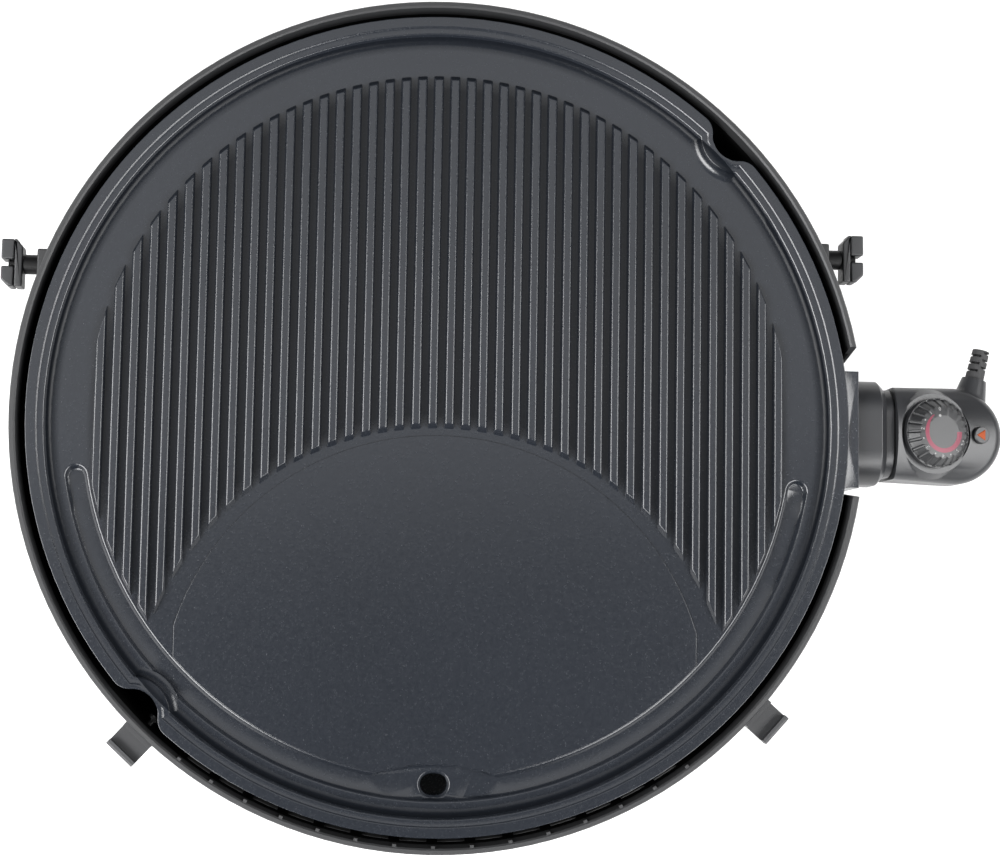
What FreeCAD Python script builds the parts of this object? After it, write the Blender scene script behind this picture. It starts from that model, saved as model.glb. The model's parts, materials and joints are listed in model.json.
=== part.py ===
import FreeCAD, Part
import Sketcher
import math
import os
import re

# A round electric table barbecue: a cast grill plate with its heater lies in an open bowl,
# a plug-in controller feeds it from the right, and a drip tray slides in from the front.
# Millimetres. X points right to the controller, Y to the back, Z up from the table.

App = FreeCAD
SIZES = {
    # Heights over the table and running gaps
    "rim_height": 105, "base_height": 14, "overrun": 4, "slide_gap": 0.4, "shaft_gap": 0.05,
    "thread_gap": 0.05,
    # Cast grill plate: dish
    "plate_radius": 214, "flange_width": 6, "flange_thick": 4, "flange_flat": 5.3, "step_wide": 4.1,
    "step_drop": 0.9, "dish_depth": 5.5, "dish_slope": 5.6, "floor_thick": 6, "under_slope": 4,
    # Cast grill plate: grill ribs and the bay that the smooth zone takes out of them
    "rib_pitch": 8.64, "rib_top": 3.2, "rib_base": 5, "rib_tall": 3, "rib_root": 1, "rib_margin": 31,
    "rib_draft": 2, "bay_share": 0.729, "bay_drop_share": 0.7477,
    # Cast grill plate: smooth griddle zone
    "griddle_share": 0.6589, "griddle_drop_share": 0.6963, "griddle_half_share": 0.6308, "griddle_rise": 0.6,
    "griddle_margin": 30,
    # Cast grill plate: fat channel, sump and drain
    "channel_inset": 23.5, "channel_half": 5.5, "channel_bed": 4, "channel_depth": 3, "channel_sweep": 160,
    "sump_radius": 92, "sump_inset": 36.5, "drain_inset": 26.5, "drain_shift": 1.5, "drain_radius": 5.5,
    "drain_bevel": 1.2, "spout_radius": 9, "spout_drop": 9,
    # Cast grill plate: thumb notches
    "notch_angle": 45, "notch_depth": 9, "notch_radius": 13, "notch_corner": 10, "land_flat": 2.3,
    "land_step": 3.8,
    # Cast grill plate: connector wall and terminal block
    "boss_proud": 5.4, "boss_thick": 9.5, "boss_half": 30.7, "boss_top": 1.5, "boss_bottom": 56,
    "block_long": 52, "block_half": 24, "block_bottom": 41,
    # Heater and its terminals
    "loop_share": 0.6075, "bend_radius": 25, "tube_radius": 4, "ridge_half": 8, "ridge_tall": 6,
    "lead_half": 13, "pin_radius": 2.5, "pin_reach": 12, "pin_root": 12,
    # Socket collar
    "collar_long": 17.2, "collar_half": 28, "collar_top": 6, "collar_bottom": 54, "collar_wall": 4,
    "collar_floor": 3, "collar_corner": 18, "collar_bevel": 3.2, "collar_screw_half": 17,
    "collar_screw_drop": 40,
    # Controller housing, measured from the connector wall's face
    "seam_place": 22.5, "seam_gap": 1, "seam_deep": 2, "nose_tail": 5, "cover_long": 61.4, "neck_half": 24.6,
    "cover_half": 27, "cover_drop": 6, "cover_slope": 14, "crown_round": 42,
    "split_drop": 33, "cover_bottom": 55, "far_corner": 25.5, "edge_round": 7, "belly_round": 12,
    "cover_wall": 2.6, "cover_roof": 3,
    # Controller inside
    "probe_drop": 36, "probe_radius": 3, "probe_reach": 50, "sleeve_wall": 1.2, "sleeve_long": 15,
    "stat_long": 26, "stat_half": 13, "stat_tall": 16,
    # Control knob on its sloping seat
    "knob_place": 44.4, "knob_radius": 18.6, "grip_foot": 17.7, "crown_radius": 14, "knob_tall": 9.2,
    "skirt_tall": 3, "crown_rise": 0.8, "crown_flat": 9, "seat_radius": 20.6, "seat_depth": 2,
    "platform_radius": 21.4, "platform_foot": 24.2, "platform_tall": 5.5,
    "knob_shaft": 3, "bore_deep": 6, "grip_count": 22, "grip_radius": 1.1, "grip_deep": 0.5,
    # Pilot lens and cord guard
    "lens_place": 70, "lens_radius": 4.6, "lens_proud": 2.4, "lens_bevel": 0.5, "lens_deep": 4,
    "guard_place": 68.3, "guard_side": 17, "guard_angle": 14, "guard_radius": 5, "guard_tip": 4.5,
    "guard_long": 31.4, "guard_bore": 3.2, "guard_root": 4, "gland_radius": 9.5, "gland_tip": 6.6,
    "gland_long": 15, "slot_count": 6, "slot_gap": 1.3, "slot_share": 0.1,
    # Screws
    "screw_radius": 1.75, "screw_head": 3.2, "head_tall": 2.2, "screw_long": 9,
    # Bowl
    "rim_gap": 5.2, "bowl_wall": 3.3, "wall_taper": 14.5, "floor_plate": 3, "bowl_round": 14,
    "rim_bevel": 0.8,
    "mouth_half": 32.2, "mouth_foot": 32, "mouth_shift": 0.6, "mouth_depth": 62, "mouth_reach": 75,
    "back_flare": 10.8, "front_flare": 3.8, "flare_depth": 32,
    "wall_reach": 20,
    # Bowl: front vents and the small teeth between them
    "vent_count": 14, "vent_step_angle": 5.2, "vent_half": 7, "vent_top": 13, "vent_tall": 7,
    "tooth_half": 1, "tooth_proud": 1.4, "tooth_top": 0.6, "tooth_tall": 10,
    # Bowl: fins that carry the plate and the heat shield
    "fin_count": 5, "fin_angle": 18, "fin_thick": 4, "fin_inset": 19, "fin_sink": 8, "fin_head_inset": 9,
    "fin_neck": 21, "ledge_inset": 40, "ledge_sink": 10, "ledge_height": 58, "ledge_thick": 6,
    # Heat shield
    "shield_inset": 27, "shield_thick": 1, "shield_edge": 3, "shield_gate": 26, "shield_gate_deep": 25,
    # Drip tray and its runners
    "tray_half": 70, "tray_long": 117, "tray_tall": 24, "tray_wall": 2, "tray_sink": 9.5,
    "lip_half": 32, "lip_proud": 5, "lip_thick": 3, "runner_wide": 4, "runner_tall": 8, "runner_sink": 44.5,
    # Feet and the pad under the bowl's middle
    "foot_share": 0.674, "foot_radius": 14, "foot_tip": 12, "foot_bevel": 1.5, "foot_well": 9,
    "well_radius": 4.6,
    "post_radius": 5.5, "post_tall": 8, "stem_radius": 3, "barb_radius": 4.5, "barb_tall": 3,
    # Side holders: brackets, pins and slotted jaws
    "right_holder_share": 0.42, "left_holder_share": 0.355, "holder_drop": 22, "bracket_proud": 5.2,
    "bracket_half": 7.5, "bracket_tall": 16, "bracket_deep": 22.5, "pin_shank": 3, "pin_shoulder": 5.2,
    "shoulder_long": 7.4, "jaw_long": 4.2, "cap_long": 6.7, "jaw_half": 12.6, "jaw_tall": 12, "jaw_slot": 3.7,
    "slot_deep": 3, "slot_bed": 5, "jaw_bevel": 3.8, "jaw_seam": 0.3, "pin_in_jaw": 7.2, "nut_radius": 5.5,
    "nut_tall": 4, "nut_sink": 20,
    # Front hooks
    "left_hook_angle": 227.4, "right_hook_angle": 318.4, "hook_half": 8.85, "hook_top": 4, "hook_gap": 2.4,
    "hook_long": 12.6, "hook_sink": 8.5, "hook_dip": 5, "hook_thick": 3, "hook_tail": 22,
    "hook_screw_drop": 16, "hook_round": 1.4,
}
# Sizes that follow from those above
FOLLOWING = {
    "rib_field": "plate_radius - rib_margin", "rib_count": "2 * floor(rib_field / rib_pitch)",
    "bay_radius": "plate_radius * bay_share", "bay_drop": "plate_radius * bay_drop_share",
    "griddle_radius": "plate_radius * griddle_share", "griddle_drop": "plate_radius * griddle_drop_share",
    "griddle_half": "plate_radius * griddle_half_share", "griddle_reach": "plate_radius - griddle_margin",
    "channel_radius": "plate_radius - channel_inset", "sump_edge": "plate_radius - sump_inset",
    "drain_place": "plate_radius - drain_inset", "notch_place": "plate_radius - notch_depth + notch_radius",
    "land_edge": "notch_radius + land_flat", "land_wall": "land_edge + land_step",
    "land_foot": "land_wall + dish_slope",
    "boss_face": "plate_radius + boss_proud", "loop_radius": "plate_radius * loop_share",
    "bowl_radius": "plate_radius + rim_gap + bowl_wall", "wall_foot": "bowl_radius - wall_taper",
    "fin_inner": "plate_radius - fin_inset", "fin_outer": "bowl_radius - fin_sink",
    "fin_head": "plate_radius - fin_head_inset", "ledge_inner": "plate_radius - ledge_inset",
    "ledge_outer": "bowl_radius - ledge_sink", "shield_radius": "plate_radius - shield_inset",
    "tray_front": "bowl_radius - tray_sink", "tray_back": "tray_front - tray_long",
    "runner_front": "bowl_radius - runner_sink", "foot_place": "bowl_radius * foot_share",
    "right_holder_place": "bowl_radius * right_holder_share",
    "left_holder_place": "bowl_radius * left_holder_share",
    "right_bracket_face": "bowl_radius * cos(asin(right_holder_share)) + bracket_proud",
    "left_bracket_face": "bowl_radius * cos(asin(left_holder_share)) + bracket_proud",
    "hook_face": "bowl_radius + hook_gap", "hook_tip": "hook_face + hook_long",
    "hook_back": "bowl_radius - hook_sink",
}

doc = App.newDocument("barbecue_grill")
sheet = doc.addObject("Spreadsheet::Sheet", "Sizes")
for row, alias in enumerate([*SIZES, *FOLLOWING], 1):
    sheet.set(f"A{row}", alias)
    sheet.setAlias(f"B{row}", alias)
    sheet.set(f"B{row}", str(SIZES[alias]) if alias in SIZES else "=" + FOLLOWING[alias])
doc.recompute()

# How a sketch counts its own axes and a piece of geometry's points
ROOT_INDEX, ROOT_POINT_INDEX = -1, 1
START_INDEX, END_INDEX, CENTRE_INDEX = 1, 2, 3
Z_AXIS = App.Vector(0, 0, 1)
ALONG_X = App.Rotation(App.Vector(0, 1, 0), 90)
UPRIGHT = App.Rotation()
HALF_TURN = App.Rotation(App.Vector(1, 0, 0), 180)
TINY = 1e-6
NEAR = 1e-3
ALIASES = {*SIZES, *FOLLOWING}


def full(text):
    """An expression in plain aliases, with the sheet's name put before each alias."""
    return re.sub(r"[a-z_]+", lambda word: "Sizes." + word[0] if word[0] in ALIASES else word[0], text)


def number(text):
    return float(sheet.evalExpression(full(text)))


def bind(thing, **texts):
    """Tie properties of an object to the sheet; a double underscore stands for a dot."""
    for name, text in texts.items():
        thing.setExpression(name.replace("__", "."), full(text))


def place(thing, x="0", y="0", z="0", turn=UPRIGHT):
    """Set an object's placement: the turn as given, the position tied to the sheet."""
    thing.Placement = App.Placement(App.Vector(number(x), number(y), number(z)), turn)
    bind(thing, Placement__Base__x=x, Placement__Base__y=y, Placement__Base__z=z)
    return thing


def turned(degrees):
    return App.Rotation(Z_AXIS, number(degrees))


def new_body(name):
    body = doc.addObject("PartDesign::Body", name)
    body.Label = name
    return body


def feature(body, kind, **texts):
    item = body.newObject("PartDesign::" + kind, body.Name + "_" + kind)
    bind(item, **texts)
    return item


def block(body, x, y, z, long, wide, tall, cut=False, turn=UPRIGHT):
    """A box inside a body, from one corner."""
    kind = "SubtractiveBox" if cut else "AdditiveBox"
    return place(feature(body, kind, Length=long, Width=wide, Height=tall), x, y, z, turn)


def drum(body, x, y, z, radius, tall, cut=False, turn=UPRIGHT, top=None):
    """A cylinder inside a body, or a cone where the top radius differs."""
    verb = "Subtractive" if cut else "Additive"
    if top is None:
        return place(feature(body, verb + "Cylinder", Radius=radius, Height=tall), x, y, z, turn)
    return place(feature(body, verb + "Cone", Radius1=radius, Radius2=top, Height=tall), x, y, z, turn)


def sketch_on(body, role, offset="0", turn=UPRIGHT):
    plane = next(item for item in body.Origin.OriginFeatures if item.Role == role)
    sketch = body.newObject("Sketcher::SketchObject", body.Name + "_sketch")
    sketch.AttachmentSupport = [(plane, "")]
    sketch.MapMode = "FlatFace"
    sketch.AttachmentOffset = App.Placement(App.Vector(), turn)
    bind(sketch, AttachmentOffset__Base__z=offset)
    return sketch


def pin_point(sketch, edge, point, x, y):
    """Hold one sketch point at a position that follows the sheet."""
    for kind, axis, text in (("DistanceX", -2, x), ("DistanceY", -1, y)):
        if abs(number(text)) < TINY:
            sketch.addConstraint(Sketcher.Constraint("PointOnObject", edge, point, axis))
        else:
            item = Sketcher.Constraint(kind, ROOT_INDEX, ROOT_POINT_INDEX, edge, point, number(text))
            bind(sketch, **{f"Constraints[{sketch.addConstraint(item)}]": text})


def outline(sketch, points):
    """A closed outline of straight edges whose corners follow the sheet."""
    first = sketch.GeometryCount
    corners = [App.Vector(number(x), number(y), 0) for x, y in points]
    ends = corners[1:] + corners[:1]
    for start, end in zip(corners, ends):
        sketch.addGeometry(Part.LineSegment(start, end))
    for step in range(len(points)):
        after = first + (step + 1) % len(points)
        sketch.addConstraint(Sketcher.Constraint("Coincident", first + step, END_INDEX, after, START_INDEX))
    for step, (x, y) in enumerate(points):
        pin_point(sketch, first + step, START_INDEX, x, y)
    return sketch


def cove_outline(sketch, points, cove):
    """A closed outline with one hollow edge: an arc that leaves its lower end level."""
    corners = [App.Vector(number(x), number(y), 0) for x, y in points]
    ends = corners[1:] + corners[:1]
    for step, (start, end) in enumerate(zip(corners, ends)):
        if step != cove:
            sketch.addGeometry(Part.LineSegment(start, end))
            continue
        run, rise = end.x - start.x, end.y - start.y
        radius = (run ** 2 + rise ** 2) / (2 * rise)
        half = math.atan2(run, radius - rise) / 2
        middle = start + App.Vector(radius * math.sin(half), radius * (1 - math.cos(half)), 0)
        sketch.addGeometry(Part.Arc(start, middle, end))
    return sketch


def circle(sketch, x, y, radius):
    centre = App.Vector(number(x), number(y), 0)
    edge = sketch.addGeometry(Part.Circle(centre, Z_AXIS, number(radius)))
    size = sketch.addConstraint(Sketcher.Constraint("Radius", edge, number(radius)))
    bind(sketch, **{f"Constraints[{size}]": radius})
    pin_point(sketch, edge, CENTRE_INDEX, x, y)
    return sketch


def pad(body, sketch, long, both_ways=False):
    item = feature(body, "Pad", Length=long)
    item.Profile = sketch
    item.Midplane = both_ways
    return item


def pocket(body, sketch, long, both_ways=False):
    item = feature(body, "Pocket", Length=long)
    item.Profile = sketch
    item.Midplane = both_ways
    return item


def revolve(body, sketch, kind="Revolution", sweep=None):
    """Turn a sketch about its upright axis, all round or evenly to both sides of its plane."""
    item = feature(body, kind)
    item.Profile = sketch
    item.ReferenceAxis = (sketch, ["V_Axis"])
    if sweep:
        bind(item, Angle=sweep)
        item.Midplane = True
    return item


def z_axis_of(body):
    return next(item for item in body.Origin.OriginFeatures if item.Role == "Z_Axis")


def ring_of(body, originals, count, sweep="360"):
    """Repeat features round the body's upright axis."""
    item = feature(body, "PolarPattern", Angle=sweep, Occurrences=count)
    item.Originals = originals
    item.Axis = (z_axis_of(body), [""])
    body.Tip = item
    return item


def round_edges(body, radius, chosen, kind="Fillet", size="Radius"):
    """Round or bevel those edges of the body's last feature that the test picks."""
    doc.recompute()
    base = body.Tip
    names = [f"Edge{place_in}" for place_in, edge in enumerate(base.Shape.Edges, 1) if chosen(edge)]
    item = feature(body, kind, **{size: radius})
    item.Base = (base, names)
    return item


def bevel_edges(body, size, chosen):
    return round_edges(body, size, chosen, "Chamfer", "Size")


def is_upright(edge):
    return edge.BoundBox.XLength < TINY and edge.BoundBox.YLength < TINY


def is_level(edge, height):
    box = edge.BoundBox
    return box.ZLength < TINY and abs(box.ZMin - number(height)) < TINY


def runs_along_x(edge):
    return edge.BoundBox.YLength < TINY and edge.BoundBox.ZLength < TINY


def part(kind, name, x="0", y="0", z="0", turn=UPRIGHT, **texts):
    """A Part primitive tied to the sheet."""
    item = doc.addObject("Part::" + kind, name)
    bind(item, **texts)
    return place(item, x, y, z, turn)


def joined(name, kind, pieces):
    item = doc.addObject("Part::" + kind, name)
    item.Shapes = pieces
    item.Label = name
    return item


def less(name, base, tool):
    item = doc.addObject("Part::Cut", name)
    item.Base = base
    item.Tool = tool
    item.Label = name
    return item


def group(name, pieces):
    item = doc.addObject("Part::Compound", name)
    item.Links = pieces
    item.Label = name
    return item


# Heights and places that several pieces share, as expressions of the sheet
FLOOR = "-dish_depth"
UNDERSIDE = "-dish_depth - floor_thick"
LEAD_LEVEL = "-dish_depth - floor_thick - ridge_tall"
BOWL_FLOOR = "base_height + floor_plate"
BLOCK_BACK = "boss_face - block_long"
NOSE_START = "collar_floor + head_tall + slide_gap"
NOSE_GAP = "collar_wall + slide_gap"
TAIL_GAP = "collar_wall + slide_gap + seam_deep"
KNOB_LEVEL = "-cover_drop - (knob_place - seam_place) * tan(cover_slope * 1deg)"
LENS_LEVEL = "-cover_drop - (lens_place - seam_place) * tan(cover_slope * 1deg)"
SLOPED = App.Rotation(App.Vector(0, 1, 0), number("cover_slope"))
GUARD_TURN = App.Rotation(Z_AXIS, -number("guard_angle")).multiply(App.Rotation(App.Vector(1, 0, 0), -90))
COVER_SCREWS = [
    ("seam_place + cover_long - far_corner / 2", "0"),
    ("seam_place + nose_tail + stat_long / 2", "stat_half + cover_wall + screw_head"),
    ("seam_place + nose_tail + stat_long / 2", "-stat_half - cover_wall - screw_head")]
HOOK_ANGLES = ("left_hook_angle", "right_hook_angle")
FEET = {name: (side + "foot_place * cos(45deg)", end + "foot_place * sin(45deg)") for name, side, end in (
    ("front_left_foot", "-", "-"), ("front_right_foot", "", "-"), ("rear_left_foot", "-", ""),
    ("rear_right_foot", "", ""))}


def on_plate(thing):
    """Pieces of the plate are drawn from its flange's top face."""
    return place(thing, z="rim_height")


def on_socket(thing):
    """Pieces of the controller are drawn from the connector wall's face at flange height."""
    return place(thing, x="boss_face", z="rim_height")


def notch_outline(sketch):
    """A thumb notch on the X axis: a round bite whose corners flow into the plate's edge."""
    edge, bite = number("plate_radius"), number("notch_radius")
    corner, away = number("notch_corner"), number("notch_place")
    inner = edge - corner
    cosine = (away ** 2 + inner ** 2 - (bite + corner) ** 2) / (2 * away * inner)
    sine = (1 - cosine ** 2) ** 0.5
    bite_centre = App.Vector(away, 0, 0)
    far = edge + number("land_foot")

    def mirrored(point):
        return App.Vector(point.x, -point.y, 0)
    on_edge = App.Vector(edge * cosine, edge * sine, 0)
    corner_centre = App.Vector(inner * cosine, inner * sine, 0)
    on_bite = bite_centre + (corner_centre - bite_centre).normalize() * bite
    outside = App.Vector(far * cosine, far * sine, 0)
    to_edge, to_bite = (on_edge - corner_centre).normalize(), (on_bite - corner_centre).normalize()
    upper_way = to_edge + to_bite
    sketch.addGeometry(Part.Arc(on_edge, corner_centre + upper_way.normalize() * corner, on_bite))
    sketch.addGeometry(Part.Arc(on_bite, bite_centre - App.Vector(bite, 0, 0), mirrored(on_bite)))
    sketch.addGeometry(Part.Arc(mirrored(on_bite), mirrored(corner_centre + upper_way * corner),
                                mirrored(on_edge)))
    sketch.addGeometry(Part.LineSegment(mirrored(on_edge), mirrored(outside)))
    sketch.addGeometry(Part.LineSegment(mirrored(outside), outside))
    sketch.addGeometry(Part.LineSegment(outside, on_edge))
    return sketch


def dish():
    """The plate without its ribs: flange, dished floor, notches, channel, drain and connector wall."""
    body = new_body("plate_dish")
    profile = cove_outline(sketch_on(body, "XZ_Plane"), [
        ("0", FLOOR), ("plate_radius - flange_flat - step_wide - dish_slope", FLOOR),
        ("plate_radius - flange_flat - step_wide", "-step_drop"),
        ("plate_radius - flange_flat - step_drop", "-step_drop"),
        ("plate_radius - flange_flat", "0"), ("plate_radius", "0"), ("plate_radius", "-flange_thick"),
        ("plate_radius - flange_width + under_slope", "-flange_thick"),
        ("plate_radius - flange_width", UNDERSIDE), ("0", UNDERSIDE)], 1)
    revolve(body, profile)
    # Lands round the thumb notches, trimmed to the flange's edge, then the notches themselves
    for side in ("notch_angle", "notch_angle + 180"):
        land = cove_outline(sketch_on(body, "XZ_Plane", f"-notch_place * sin(({side}) * 1deg)"), [
            ("0", "0"), ("0", FLOOR), ("land_foot", FLOOR), ("land_wall", "-step_drop"),
            ("land_edge + step_drop", "-step_drop"), ("land_edge", "0")], 2)
        bind(land, AttachmentOffset__Base__x=f"notch_place * cos(({side}) * 1deg)")
        revolve(body, land)
    trim = outline(sketch_on(body, "XZ_Plane"), [
        ("plate_radius", UNDERSIDE + " - overrun"),
        ("notch_place + land_foot + overrun", UNDERSIDE + " - overrun"),
        ("notch_place + land_foot + overrun", "overrun"), ("plate_radius", "overrun")])
    revolve(body, trim, "Groove")
    for side in ("notch_angle", "notch_angle + 180"):
        pocket(body, notch_outline(sketch_on(body, "XY_Plane", turn=turned(side))),
               "2 * (dish_depth + floor_thick + overrun)", both_ways=True)
    # Fat channel round the front, with round ends, its sump and the drain
    channel = outline(sketch_on(body, "YZ_Plane"), [
        ("-channel_radius - channel_half", FLOOR), ("-channel_radius + channel_half", FLOOR),
        ("-channel_radius + channel_bed", FLOOR + " - channel_depth"),
        ("-channel_radius - channel_bed", FLOOR + " - channel_depth")])
    revolve(body, channel, "Groove", "channel_sweep")
    for side in ("", "-"):
        x = side + "channel_radius * sin(channel_sweep / 2 * 1deg)"
        y = "-channel_radius * cos(channel_sweep / 2 * 1deg)"
        drum(body, x, y, FLOOR + " - channel_depth", "channel_bed", "channel_depth", cut=True,
             top="channel_half")
    return body


def connector(body):
    """The cast wall and terminal block under the plate's right edge, bored for the pins and the probe."""
    block(body, "boss_face - boss_thick", "-boss_half", "-boss_bottom",
          "boss_thick", "2 * boss_half", "boss_bottom - boss_top")
    block(body, BLOCK_BACK, "-block_half", "-block_bottom",
          "block_long - boss_thick / 2", "2 * block_half", "block_bottom + " + UNDERSIDE)
    bore = "probe_radius + slide_gap"
    drum(body, BLOCK_BACK + " - overrun", "0", "-probe_drop", bore, "block_long + 2 * overrun", cut=True,
         turn=ALONG_X)
    for side in ("-", ""):
        drum(body, BLOCK_BACK + " + pin_root", side + "lead_half", LEAD_LEVEL, "pin_radius + thread_gap",
             "block_long - pin_root + overrun", cut=True, turn=ALONG_X)
        drum(body, "boss_face - screw_long", side + "collar_screw_half", "-collar_screw_drop",
             "screw_radius + thread_gap", "screw_long + overrun", cut=True, turn=ALONG_X)


def heater_bed(body):
    """The raised ridge under the floor, with the half-round bed that the heater tube lies in."""
    ridge = outline(sketch_on(body, "XZ_Plane"), [
        ("-loop_radius - ridge_half", UNDERSIDE + " + rib_root"),
        ("-loop_radius + ridge_half", UNDERSIDE + " + rib_root"),
        ("-loop_radius + ridge_half", LEAD_LEVEL), ("-loop_radius - ridge_half", LEAD_LEVEL)])
    revolve(body, ridge,
            sweep="360 - 2 * asin((lead_half + bend_radius) / (loop_radius + bend_radius)) / 1deg")


def heater_path(sketch):
    """The loop, its two bends and the straight leads to the terminals, all tangent."""
    loop, bend, lead = number("loop_radius"), number("bend_radius"), number("lead_half")
    bend_x = ((loop + bend) ** 2 - (lead + bend) ** 2) ** 0.5
    lead_end = number(BLOCK_BACK + " + pin_root")
    share = loop / (loop + bend)
    meet_x, meet_y = bend_x * share, (lead + bend) * share
    far = App.Vector(-loop, 0, 0)
    lower_bend, upper_bend = App.Vector(bend_x, -lead - bend, 0), App.Vector(bend_x, lead + bend, 0)

    def middle(centre):
        to_loop = App.Vector(-centre.x, -centre.y, 0).normalize()
        to_lead = App.Vector(0, -centre.y, 0).normalize()
        return centre + (to_loop + to_lead).normalize() * bend
    sketch.addGeometry(Part.LineSegment(App.Vector(lead_end, lead, 0), App.Vector(bend_x, lead, 0)))
    sketch.addGeometry(Part.Arc(App.Vector(bend_x, lead, 0), middle(upper_bend),
                                App.Vector(meet_x, meet_y, 0)))
    sketch.addGeometry(Part.Arc(App.Vector(meet_x, meet_y, 0), far, App.Vector(meet_x, -meet_y, 0)))
    sketch.addGeometry(Part.Arc(App.Vector(meet_x, -meet_y, 0), middle(lower_bend),
                                App.Vector(bend_x, -lead, 0)))
    sketch.addGeometry(Part.LineSegment(App.Vector(bend_x, -lead, 0), App.Vector(lead_end, -lead, 0)))
    return sketch


def heater_tube(body, radius):
    """The bent tube of the heater, swept from its upper lead's end."""
    path = heater_path(sketch_on(body, "XY_Plane", LEAD_LEVEL))
    ring = circle(sketch_on(body, "YZ_Plane", BLOCK_BACK + " + pin_root"), "lead_half", LEAD_LEVEL, radius)
    sweep = feature(body, "AdditivePipe")
    sweep.Profile = ring
    sweep.Spine = (path, [f"Edge{step}" for step in range(1, path.GeometryCount + 1)])
    return body


def grill_plate():
    """The cast plate: the dish with its ribs and smooth zone on top and the heater's bed below."""
    body = dish()
    connector(body)
    heater_bed(body)
    drum(body, "0", "-drain_place", UNDERSIDE + " - spout_drop", "spout_radius",
         "spout_drop + floor_thick / 2")
    sump = part("MultiCommon", "sump")
    sump.Shapes = [
        part("Cylinder", "sump_disc", y="-sump_edge - sump_radius", z=FLOOR + " - channel_depth",
             Radius="sump_radius", Height="channel_depth + overrun"),
        part("Cylinder", "sump_limit", z=FLOOR + " - channel_depth",
             Radius="channel_radius", Height="channel_depth + overrun")]
    drain = joined("drain", "MultiFuse", [
        part("Cylinder", "drain_left", "-drain_shift", "-drain_place", UNDERSIDE + " - spout_drop - overrun",
             Radius="drain_radius", Height="spout_drop + floor_thick + overrun"),
        part("Cylinder", "drain_right", "drain_shift", "-drain_place", UNDERSIDE + " - spout_drop - overrun",
             Radius="drain_radius", Height="spout_drop + floor_thick + overrun"),
        part("Box", "drain_middle", "-drain_shift", "-drain_place - drain_radius",
             UNDERSIDE + " - spout_drop - overrun", Length="2 * drain_shift", Width="2 * drain_radius",
             Height="spout_drop + floor_thick + overrun"),
        part("Cone", "drain_bevel_left", "-drain_shift", "-drain_place",
             FLOOR + " - channel_depth - drain_bevel", Radius1="drain_radius",
             Radius2="drain_radius + drain_bevel", Height="drain_bevel"),
        part("Cone", "drain_bevel_right", "drain_shift", "-drain_place",
             FLOOR + " - channel_depth - drain_bevel", Radius1="drain_radius",
             Radius2="drain_radius + drain_bevel", Height="drain_bevel")])
    bed = heater_tube(new_body("heater_bed_cut"), "tube_radius + thread_gap")
    plain = less("plate_plain", body, joined("plate_cuts", "MultiFuse", [sump, drain]))
    bedded = less("plate_bedded", plain, bed)
    return on_plate(joined("grill_plate", "MultiFuse", [bedded, ribs(), griddle_zone()]))


def ribs():
    """The grill ribs: long tapered bars on a thin root, kept inside the round field and outside the bay."""
    bars = new_body("rib_bars")
    block(bars, "-plate_radius", "-plate_radius", FLOOR + " - rib_root", "2 * plate_radius",
          "2 * plate_radius", "rib_root")
    first = "-(rib_count - 1) / 2 * rib_pitch"
    bar = pad(bars, outline(sketch_on(bars, "XZ_Plane"), [
        (first + " - rib_base / 2", FLOOR), (first + " + rib_base / 2", FLOOR),
        (first + " + rib_top / 2", FLOOR + " + rib_tall"),
        (first + " - rib_top / 2", FLOOR + " + rib_tall")]),
        "2 * plate_radius", both_ways=True)
    row = feature(bars, "LinearPattern", Length="(rib_count - 1) * rib_pitch", Occurrences="rib_count")
    row.Originals = [bar]
    row.Direction = (next(item for item in bars.Origin.OriginFeatures if item.Role == "X_Axis"), [""])
    bars.Tip = row
    base = FLOOR + " - rib_root"
    tall = "rib_root + rib_tall"
    field = part("Cone", "rib_field_cone", z=base, Radius1="rib_field", Radius2="rib_field - rib_draft",
                 Height=tall)
    bay = part("Cone", "rib_bay_cone", y="-bay_drop", z=base, Radius1="bay_radius",
               Radius2="bay_radius + rib_draft", Height=tall)
    return joined("ribs", "MultiCommon", [bars, less("rib_zone", field, bay)])


def griddle_zone():
    """The smooth zone, a hair above the floor, bounded by an arc, two short sides and the channel."""
    base = FLOOR + " - rib_root"
    tall = "rib_root + griddle_rise"
    disc = part("Cylinder", "zone_disc", y="-griddle_drop", z=base, Radius="griddle_radius", Height=tall)
    reach = part("Cylinder", "zone_reach", z=base, Radius="griddle_reach", Height=tall)
    width = part("Box", "zone_width", "-griddle_half", "-plate_radius", base, Length="2 * griddle_half",
                 Width="plate_radius", Height=tall)
    sump = part("Cylinder", "zone_sump", y="-sump_edge - sump_radius", z=base,
                Radius="sump_radius + griddle_rise", Height=tall)
    return less("griddle_zone", joined("zone_plain", "MultiCommon", [disc, reach, width]), sump)


def heating_element():
    return on_plate(heater_tube(new_body("heating_element"), "tube_radius"))


def terminal_pins():
    """Two cold pins from the heater's leads through the connector wall into the collar."""
    long = "block_long - pin_root + collar_floor + pin_reach"
    pins = [part("Cylinder", f"terminal_pin_{name}", BLOCK_BACK + " + pin_root", side + "lead_half",
                 "rim_height" + LEAD_LEVEL, ALONG_X, Radius="pin_radius", Height=long)
            for name, side in (("front", "-"), ("back", ""))]
    return group("terminal_pins", pins)


def screw(name, x, y, z, turn, long="screw_long"):
    """A plain round-headed screw whose head lies on the given point, its shank along the turn's axis."""
    shank = part("Cylinder", name + "_shank", x, y, z, turn, Radius="screw_radius", Height=long)
    head = part("Cylinder", name + "_head", x, y, z, turn.multiply(HALF_TURN), Radius="screw_head",
                Height="head_tall")
    return joined(name, "MultiFuse", [shank, head])


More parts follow.
